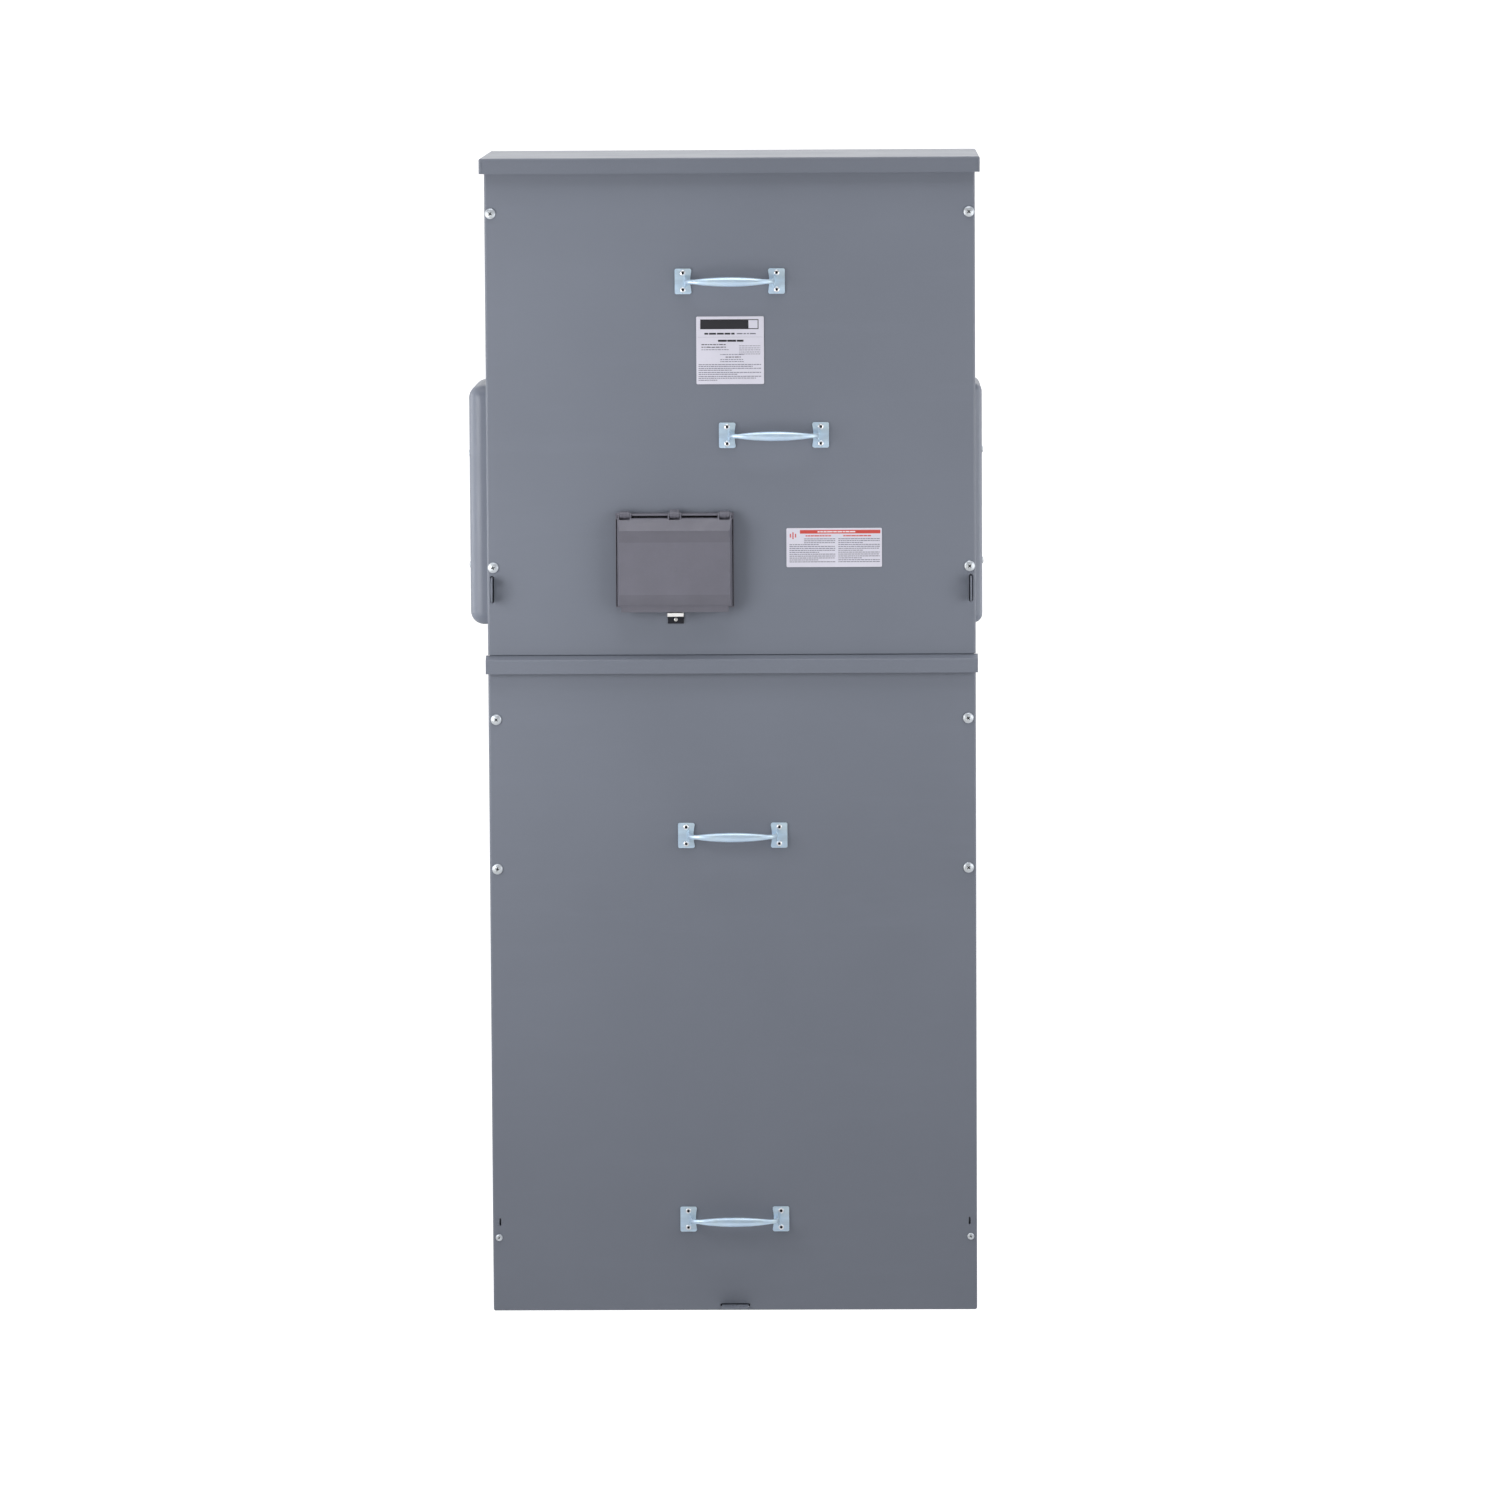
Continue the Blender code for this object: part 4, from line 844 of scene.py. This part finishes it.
def screw_mesh(name, radius):
    """Truss head with a cross recess, standing on y = 0 and centred on the origin."""
    top = -RIM - radius * CROWN
    dome = domed(radius, -RIM, radius * CROWN, 10, 9)
    bm = bmesh.new()
    add_turned(bm, [(0, SHANK_LENGTH), (radius * SHANK, SHANK_LENGTH), (radius * SHANK, 0), (radius, 0),
                    *dome, (0, top)], (0, 0), 40)
    head = make(name, bm)
    for turn in (0, 1):
        arm, half = radius * RECESS_ARM, radius * RECESS_HALF
        rings = []
        for depth, share in ((-0.001, 1.0), (radius * RECESS_DEPTH, RECESS_TAPER)):
            ring = [(-arm * share, -half), (arm * share, -half), (arm * share, half), (-arm * share, half)]
            rings.append([(z, top + depth, x) if turn else (x, top + depth, z) for x, z in ring])
        recess = bmesh.new()
        add_loft(recess, rings)
        carve(head, recess)
    edge(head, 0.00012, 1, 35)
    mesh = mesh_of(head)
    mesh.materials.append(LOOKS["zinc_screw"])
    mesh.materials.append(LOOKS["dark_steel"])
    # Faces inside the cross recess get the near-black steel as painted shade.
    for polygon in mesh.polygons:
        place = polygon.center
        off = math.hypot(place.x, place.z) / radius
        if off >= 0.5:
            continue
        just_inside = -RIM - radius * (CROWN * math.sqrt(1 - off * off) - 0.05)
        if just_inside < place.y < 0:
            polygon.material_index = 1
    return mesh


def place_screw(name, mesh, location, turn, body, node=None, spin=None):
    """Puts a linked copy of a screw in place, its head turned by a random amount."""
    piece = linked(name, mesh)
    facing = spin or Matrix.Identity(4)
    piece.matrix_world = Matrix.Translation(location) @ facing @ Matrix.Rotation(turn, 4, "Y")
    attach(piece, body)
    if node:
        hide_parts(node)


def screws():
    """The screws of the covers. Returns the mesh of the small ones for the side covers."""
    draw = random.Random(11)
    large = screw_mesh("truss_head", LARGE_HEAD)
    small = screw_mesh("small_head", SMALL_HEAD)
    for node in SCREW_NODES:
        x, _, z = middle_of(node)
        mesh = small if node.startswith("small") else large
        place_screw(node + "_head", mesh, Vector((x, out(GAP), z)), draw.uniform(0, 1.5), BODY_OF[node],
                    node)
    return small


def side_screws(mesh):
    """Pan heads that hold the side covers: two on each outer face and one on the right flange."""
    draw = random.Random(5)
    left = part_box("left_bus_cover")[0].x + SIDE_SCREW_SEAT
    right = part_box("right_bus_cover")[1].x - SIDE_SCREW_SEAT
    places = [(-1, left, 1.1455), (-1, left, 0.9947), (1, right, 1.1480), (1, right, 0.9980),
              (1, WALL_HALF + GAP + SIDE_FLANGE, 1.2468)]
    for number, (side, x, height) in enumerate(places, 1):
        facing = Matrix.Rotation(side * math.pi / 2, 4, "Z")
        place_screw(f"side_cover_screw_{number}", mesh, Vector((x, SIDE_SCREW_Y, up(height))),
                    draw.uniform(0, 1.5), "enclosure", spin=facing)


def smooth_step(value, start, end):
    t = min(1.0, max(0.0, (value - start) / (end - start)))
    return t * t * (3 - 2 * t)


def pull_mesh():
    """A stamped utility pull about the origin: two end plates and a spindle-shaped bow."""
    steps, sides = 56, 24
    rings = []
    for i in range(steps + 1):
        t = -1 + 2 * i / steps
        along = math.sin(t * math.pi / 2) * BOW_HALF
        lift = 1 - abs(t) ** BOW_POWER
        depth = PULL_FOOT + (PULL_REACH - PULL_FOOT) * lift ** BOW_ROUND
        grip = max(0.0, 1 - (along / GRIP_HALF) ** 2)
        flare = smooth_step(abs(t), 0.84, 1.0)
        tall = 0.0031 + 0.0032 * grip + 0.0052 * flare
        thick = (0.0026 + 0.0022 * grip) * (1 - 0.72 * flare)
        slope_x = math.cos(t * math.pi / 2) * BOW_RUN
        steep = math.copysign(abs(t) ** (BOW_POWER - 1), t) * max(lift, 0.05) ** (BOW_ROUND - 1)
        slope_y = PULL_REACH * BOW_POWER * BOW_ROUND * steep
        tangent = Vector((slope_x, slope_y, 0)).normalized()
        normal = Vector((tangent.y, -tangent.x, 0))
        centre = Vector((along, -GAP - depth, 0))
        turns = (2 * math.pi * k / sides for k in range(sides))
        rings.append([centre + normal * thick * math.cos(a) + Vector((0, 0, tall * math.sin(a)))
                      for a in turns])
    bm = bmesh.new()
    add_loft(bm, rings)
    pull = make("pull", bm)
    plates = bmesh.new()
    for side in (-1, 1):
        add_prism(plates, plate_outline(side), "y", -GAP - PLATE_THICK, -GAP)
    carve(pull, plates, "UNION")
    edge(pull, 0.0005, 2, 28)
    return mesh_of(pull)


def plate_outline(side):
    """One end plate of a pull: square outer corners broken round, a waisted inner edge."""
    wide, tall = PLATE_SIZE
    outer, inner = side * PLATE_END, side * (PLATE_END - wide)
    corner, bend = PLATE_CORNER, PLATE_INNER_CORNER
    outline = [*arc((outer - side * corner, -tall / 2 + corner), corner, 270, 270 + side * 90, 4),
               *arc((outer - side * corner, tall / 2 - corner), corner, 90 - side * 90, 90, 4)]
    for station in (*reversed(PLATE_STATIONS), 0.0, *(-share for share in PLATE_STATIONS)):
        from_corner = max(0.0, bend - (0.5 - abs(station)) * tall)
        round_off = bend - math.sqrt(bend ** 2 - from_corner ** 2)
        waist = PLATE_WAIST * math.cos(math.pi * station) + round_off
        outline.append((inner + side * waist, tall * station))
    return outline


def rivet_mesh():
    """Four blind rivets of one pull: a domed flange around the hole left by the mandrel, painted dark as
    shade.
    """
    top = -GAP - PLATE_THICK
    profile = [(0, top + 0.0010), (RIVET_RADIUS * 0.9, top + 0.0010), (RIVET_RADIUS, top),
               *domed(RIVET_RADIUS, top - 0.0002, RIVET_CROWN, 12, 5), (RIVET_HOLE, top - RIVET_CROWN),
               (RIVET_HOLE * 0.92, top - 0.0002), (0, top - 0.0001)]
    bm = bmesh.new()
    for x in (-RIVET_X, RIVET_X):
        for z in (-RIVET_Z, RIVET_Z):
            add_turned(bm, profile, (x, z), 28)
    rivets = make("rivets", bm)
    edge(rivets, 0, angle=40)
    mesh = mesh_of(rivets)
    mesh.materials.append(LOOKS["aluminium_rivet"])
    mesh.materials.append(LOOKS["dark_steel"])
    # Faces inside the mandrel hole are painted near black as shade.
    for polygon in mesh.polygons:
        across = abs(abs(polygon.center.x) - RIVET_X), abs(abs(polygon.center.z) - RIVET_Z)
        if math.hypot(*across) < RIVET_HOLE and polygon.center.y < top:
            polygon.material_index = 1
    return mesh


def pulls():
    pull, rivets = pull_mesh(), rivet_mesh()
    pull.materials.append(LOOKS["zinc_plate"])
    for node in [n for n in frame["nodes"] if "pull_handle" in n]:
        x, _, z = middle_of(node)
        for suffix, mesh, slot in (("_bow", pull, "zinc_plate"), ("_rivets", rivets, "stainless_steel")):
            piece = linked(node + suffix, mesh)
            piece.location = (x, FACE, z)
            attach(piece, BODY_OF[node])
            if suffix == "_bow":
                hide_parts(node)


# ---- labels

def label(node):
    """The film itself, with round corners. Returns the middle of its printed side."""
    low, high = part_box(node)
    bm = bmesh.new()
    add_prism(bm, rounded((low.x, low.z), (high.x, high.z), LABEL_CORNER), "y", low.y, high.y)
    piece = make(node + "_film", bm)
    edge(piece, 0.0001, 1)
    stands_for(piece, node)
    x, _, z = middle_of(node)
    return x, low.y, z


class Print:
    """Marks printed on a label, placed in millimetres from its middle."""

    def __init__(self, name, ink, origin, seed=0):
        self.name, self.ink, self.origin = name, ink, origin
        self.draw = random.Random(seed)
        self.bm = bmesh.new()

    def bar(self, x0, x1, z0, z1):
        x, y, z = self.origin
        add_box(self.bm, (x + x0 / 1000, y - INK_PROUD, z + z0 / 1000),
                (x + x1 / 1000, y + INK_DEEP, z + z1 / 1000))

    def words(self, x0, x1, z, height, gap=0.9):
        """A row of dashes of random length, which stands in for a line of print."""
        x = x0
        while x < x1 - height:
            length = min(self.draw.uniform(1.6, 5.2) * height, x1 - x)
            self.bar(x, x + length, z - height / 2, z + height / 2)
            x += length + gap * height

    def done(self):
        piece = make(self.name, self.bm)
        dress(piece, self.ink, "upper_cover")


def rating_label():
    origin = label("rating_label")
    black = Print("rating_label_black", "black_ink", origin, 21)
    black.bar(-39.5, 24.5, 28.0, 41.0)
    for edge_bar in ((24.4, 37.8, 28.0, 29.1), (24.4, 37.8, 39.9, 41.0), (36.7, 37.8, 29.0, 40.0)):
        black.bar(*edge_bar)
    black.words(-34, 6, 22.0, 2.3, 0.5)
    black.words(-16, 20, 12.6, 2.6, 0.3)
    for z in (7.6, 4.2):
        black.words(-38, -4, z, 1.1)
    black.words(-6, 14, -9.0, 1.1)
    black.done()
    grey = Print("rating_label_grey", "grey_ink", origin, 22)
    grey.words(9, 35, 22.0, 1.5)
    grey.bar(-43, 43, 17.4, 17.6)
    grey.words(-38, -2, 0.8, 0.9)
    for z in (5.8, 3.0, 0.4, -2.4, -5.0):
        grey.words(12, 40, z, 0.75)
    for z in (-5.6, -12.2, -15.0):
        grey.words(-13, 18, z, 0.9)
    for z, end in ((-19.0, 41), (-21.4, 30), (-24.0, 41), (-26.4, 2), (-29.4, 41), (-31.8, 10),
                   (-34.6, 41), (-37.0, 34), (-39.6, -16)):
        grey.words(-42, end, z, 0.95, 0.6)
    grey.done()


def caution_label():
    origin = label("caution_label")
    red = Print("caution_label_red", "red_ink", origin, 31)
    red.bar(-45.5, 61.5, 18.6, 23.4)
    for x, tall in ((-59.0, 5.0), (-55.5, 9.0), (-52.0, 5.0)):
        red.bar(x, x + 1.5, 16 - tall / 2, 16 + tall / 2)
    red.words(-38, -4, 15.6, 1.5, 0.4)
    red.words(12, 50, 15.6, 1.5, 0.4)
    red.done()
    x, y, z = origin
    white = Print("caution_label_white", "white_ink", (x, y - INK_OVER, z), 32)
    white.words(-22, 30, 21.0, 1.5, 0.5)
    white.done()
    grey = Print("caution_label_grey", "grey_ink", origin, 33)
    for i in range(13):
        z = 11.6 - 2.55 * i
        left, right = (-59.5 if i > 2 else -40.0), (1.5 if i % 4 != 3 else -20.0)
        grey.words(left, right, z, 0.95, 0.6)
        grey.words(5.5, 60.5 if i % 4 != 2 else 38.0, z, 0.95, 0.6)
    grey.done()


# ---- breaker window

def window_frame():
    """The bezel: ribbed knuckles, grooves under the pin and narrow slots on both sides of the door, their
    inner faces painted dark as shadow.
    """
    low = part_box("window_frame")[0]
    middle = middle_of("window_frame")[0]
    ribs = bmesh.new()
    for offset in HINGES:
        taller = 0.0026 if offset == 0 else 0.0006
        for shift, swell in ((-RIB_PITCH, 0.0), (0.0, RIB_SWELL), (RIB_PITCH, 0.0)):
            x = middle + offset + shift
            outline = arc((out(PIN_REACH), up(HINGE_HEIGHT)), KNUCKLE_RADIUS + swell, 75, 262, 14)
            outline.append((out(KNUCKLE_ROOT), up(HINGE_HEIGHT - 0.0048)))
            outline.append((out(KNUCKLE_ROOT), up(HINGE_HEIGHT + 0.0042 + taller)))
            add_prism(ribs, outline, "x", x - RIB_HALF, x + RIB_HALF)
    bezel = softened("window_frame", 0.0004, 2, ribs)
    grooves = bmesh.new()
    deep = out(GROOVE_DEPTH)
    foot, head = GROOVE_HEIGHTS
    for start, end in zip(HINGES, HINGES[1:]):
        add_box(grooves, (middle + start + GROOVE_INSET, out(GROOVE_FRONT), up(foot)),
                (middle + end - GROOVE_INSET, deep, up(head)))
    for side in (-1, 1):
        near, far = sorted(middle + side * across for across in SHADOW_SLOT_EDGES)
        add_box(grooves, (near, out(GROOVE_FRONT), low.z + SHADOW_SLOT_FOOT), (far, deep, up(foot)))
    carve(bezel, grooves)
    # The faces inside the grooves and slots are painted near black as shadow.
    bezel.data.materials.append(LOOKS["rubber_seal"])
    slack = 0.0001
    for polygon in bezel.data.polygons:
        place = polygon.center
        across = abs(place.x - middle)
        under_pin = across < 0.0570 and up(foot - slack) < place.z < up(head + slack)
        beside = SHADOW_SLOT_EDGES[0] - slack < across < SHADOW_SLOT_EDGES[1] + slack
        beside = beside and low.z + SHADOW_SLOT_FOOT - slack < place.z < up(foot + slack)
        if (under_pin or beside) and out(0.0098) < place.y < deep + slack:
            polygon.material_index = 1


def access_door():
    """The door with the faint round moulding mark in its middle; its faces that look down and its lip get a
    darker copy of the moulding as painted shade.
    """
    middle = middle_of("access_door")[0]
    face = out(DOOR_REACH)
    mark = bmesh.new()
    add_turned(mark, [(0, face + 0.0008), (MARK_RADIUS, face + 0.0008), (MARK_RADIUS, face),
                      (MARK_RADIUS * 0.9, face - 0.00022), (MARK_RADIUS * 0.5, face - 0.00030),
                      (0, face - 0.00032)], (middle + MARK_PLACE[0], up(MARK_PLACE[1])), 28)
    door = softened("access_door", 0.0006, 3, mark)
    door.data.materials.append(LOOKS["door_undercut"])
    foot, head = LIP_SHADE_HEIGHTS
    # Faces that look down and the lip's front are painted darker as shade.
    for polygon in door.data.polygons:
        normal, place = polygon.normal, polygon.center
        undercut = normal.z < -0.12 and place.y < out(UNDERCUT_SHADE_REACH)
        lip = up(foot) < place.z < up(head) and place.y < out(LIP_SHADE_REACH)
        if normal.y < -0.5 and (undercut or lip):
            polygon.material_index = 1


def hasp_staple():
    """A shelf painted near white for the light it catches, with a short front lip, bent out of a foot
    painted dark as the shade under the shelf, and its rivet.
    """
    low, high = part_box("hasp_staple")
    half = HASP_SHEET / 2
    top, front, foot = high.z - half, low.y + half, high.y - half
    bm = bmesh.new()
    path = ((foot, low.z), (foot, top), (front, top), (front, top - HASP_LIP))
    add_prism(bm, folded(path, HASP_SHEET, HASP_BEND, 6), "x", low.x, high.x)
    piece = make("hasp_shelf", bm)
    edge(piece, 0.0002)
    # The shelf is painted near white as highlight.
    stands_for(piece, "hasp_staple", "bright_steel")
    piece.data.materials.append(LOOKS["dark_steel"])
    # The foot under the shelf is painted near black as shade.
    for polygon in piece.data.polygons:
        if polygon.center.y > foot - HASP_SHEET and polygon.center.z < top - HASP_SHEET:
            polygon.material_index = 1
    rivet = bmesh.new()
    under = foot - half
    profile = [(0, under + 0.0004), (HASP_RIVET_RADIUS, under + 0.0004),
               *domed(HASP_RIVET_RADIUS, under - 0.0003, HASP_RIVET_CROWN, 15, 6), (0, under - 0.0015)]
    add_turned(rivet, profile, (middle_of("hasp_staple")[0], up(HASP_RIVET_HEIGHT)), 24)
    head = make("hasp_rivet", rivet)
    edge(head, 0, angle=40)
    dress(head, "stainless_steel", BODY_OF["hasp_staple"])


# ---- the rest of the frame

def carried_over():
    """Every CAD node that is still shown gets the procedural finish of its slot."""
    for node, piece in frame["nodes"].items():
        if piece.hide_render:
            continue
        piece.data.materials.clear()
        piece.data.materials.append(LOOKS[SLOT_OF[node]])


# ---- stage, light and camera

def floor():
    half, cells = 150.0, 12
    bm = bmesh.new()
    bmesh.ops.create_grid(bm, x_segments=cells, y_segments=cells, size=half)
    bmesh.ops.translate(bm, vec=(0, 0, BASE - FLOOR_DROP), verts=bm.verts)
    piece = make("pale_floor", bm)
    piece.data.materials.append(pale_floor("pale_floor"))


def softbox(name, location, target, size, power):
    light = bpy.data.lights.new(name, "AREA")
    light.shape = "RECTANGLE"
    light.size, light.size_y = size
    light.energy = power
    made = linked(name, light)
    made.location = location
    made.rotation_euler = (Vector(target) - Vector(location)).to_track_quat("-Z", "Y").to_euler()
    made.visible_camera = False


def studio():
    """A white tent that is bright behind and beside the section, and six softboxes."""
    world = bpy.data.worlds.new("studio")
    bpy.context.scene.world = world
    world.use_nodes = True
    tree = world.node_tree
    split = tree.nodes.new("ShaderNodeSeparateXYZ")
    tree.links.new(tree.nodes.new("ShaderNodeTexCoord").outputs["Generated"], split.inputs[0])
    sideways = tree.nodes.new("ShaderNodeMath")
    sideways.operation = "ABSOLUTE"
    tree.links.new(split.outputs["X"], sideways.inputs[0])
    place = tree.nodes.new("ShaderNodeMath")
    place.operation = "MULTIPLY_ADD"
    tree.links.new(sideways.outputs[0], place.inputs[0])
    place.inputs[1].default_value = TENT_WRAP
    tree.links.new(split.outputs["Y"], place.inputs[2])
    ramp = tree.nodes.new("ShaderNodeMapRange")
    tree.links.new(place.outputs[0], ramp.inputs["Value"])
    limits = {"From Min": TENT_TURN[0], "From Max": TENT_TURN[1], "To Min": TENT_FRONT, "To Max": TENT_BACK}
    for key, value in limits.items():
        ramp.inputs[key].default_value = value
    strength = tree.nodes.new("ShaderNodeMix")
    strength.data_type = "FLOAT"
    tree.links.new(tree.nodes.new("ShaderNodeLightPath").outputs["Is Camera Ray"], strength.inputs[0])
    tree.links.new(ramp.outputs["Result"], strength.inputs[2])
    strength.inputs[3].default_value = TENT_SEEN
    tree.links.new(strength.outputs[0], tree.nodes["Background"].inputs["Strength"])
    tree.nodes["Background"].inputs["Color"].default_value = (1.0, 1.0, 1.0, 1.0)
    softbox("left", (-1.1, -1.2, 0.30), (-0.2, -0.3, 0.25), (0.7, 0.9), 11.4)
    softbox("right", (1.1, -1.2, 0.30), (0.2, -0.3, 0.25), (0.7, 0.9), 6.4)
    softbox("overhead", (0.0, -1.2, 2.7), (0.0, -0.1, 0.3), (1.6, 1.0), 22.5)
    softbox("behind", (0.0, 1.6, 2.2), (0.0, 0.0, 0.6), (3.0, 1.6), 28)
    softbox("left_rim", (-1.9, 0.15, 0.30), (-0.34, -0.12, 0.30), (0.8, 1.2), 9)
    softbox("right_rim", (1.9, 0.15, 0.30), (0.34, -0.12, 0.30), (0.8, 1.2), 7)


def camera():
    data = bpy.data.cameras.new("camera")
    data.lens = LENS
    data.sensor_width = SENSOR
    made = linked("camera", data)
    made.location = (CAMERA_X, FACE - CAMERA_DISTANCE, up(CAMERA_HEIGHT))
    aim = Vector((AIM[0], FACE, up(AIM[1]))) - made.location
    level = aim.to_track_quat("-Z", "Y").to_matrix().to_4x4()
    made.matrix_world = Matrix.Translation(made.location) @ level @ Matrix.Rotation(ROLL, 4, "Z")
    bpy.context.scene.camera = made


# ---- the whole section

bpy.context.scene.view_settings.view_transform = "Standard"
camera()
studio()
floor()
shell()
covers()
rain_cap()
drip_rail()
side_cover("left_bus_cover", -1, 0.018, 0.0040)
side_cover("right_bus_cover", 1, 0.012, 0.0030)
side_screws(screws())
pulls()
rating_label()
caution_label()
window_frame()
access_door()
hasp_staple()
softened("door_hinge_pin", 0.0003, 2)
for tab in ("seal_tab_left", "seal_tab_right", "padlock_tab"):
    softened(tab, 0.0004, 2)
softened("breaker_front", 0.0012, 3)
softened("breaker_base", 0.0010, 2)
softened("breaker_toggle", 0.0010, 3)
softened("trip_button", 0.0003, 2)
carried_over()
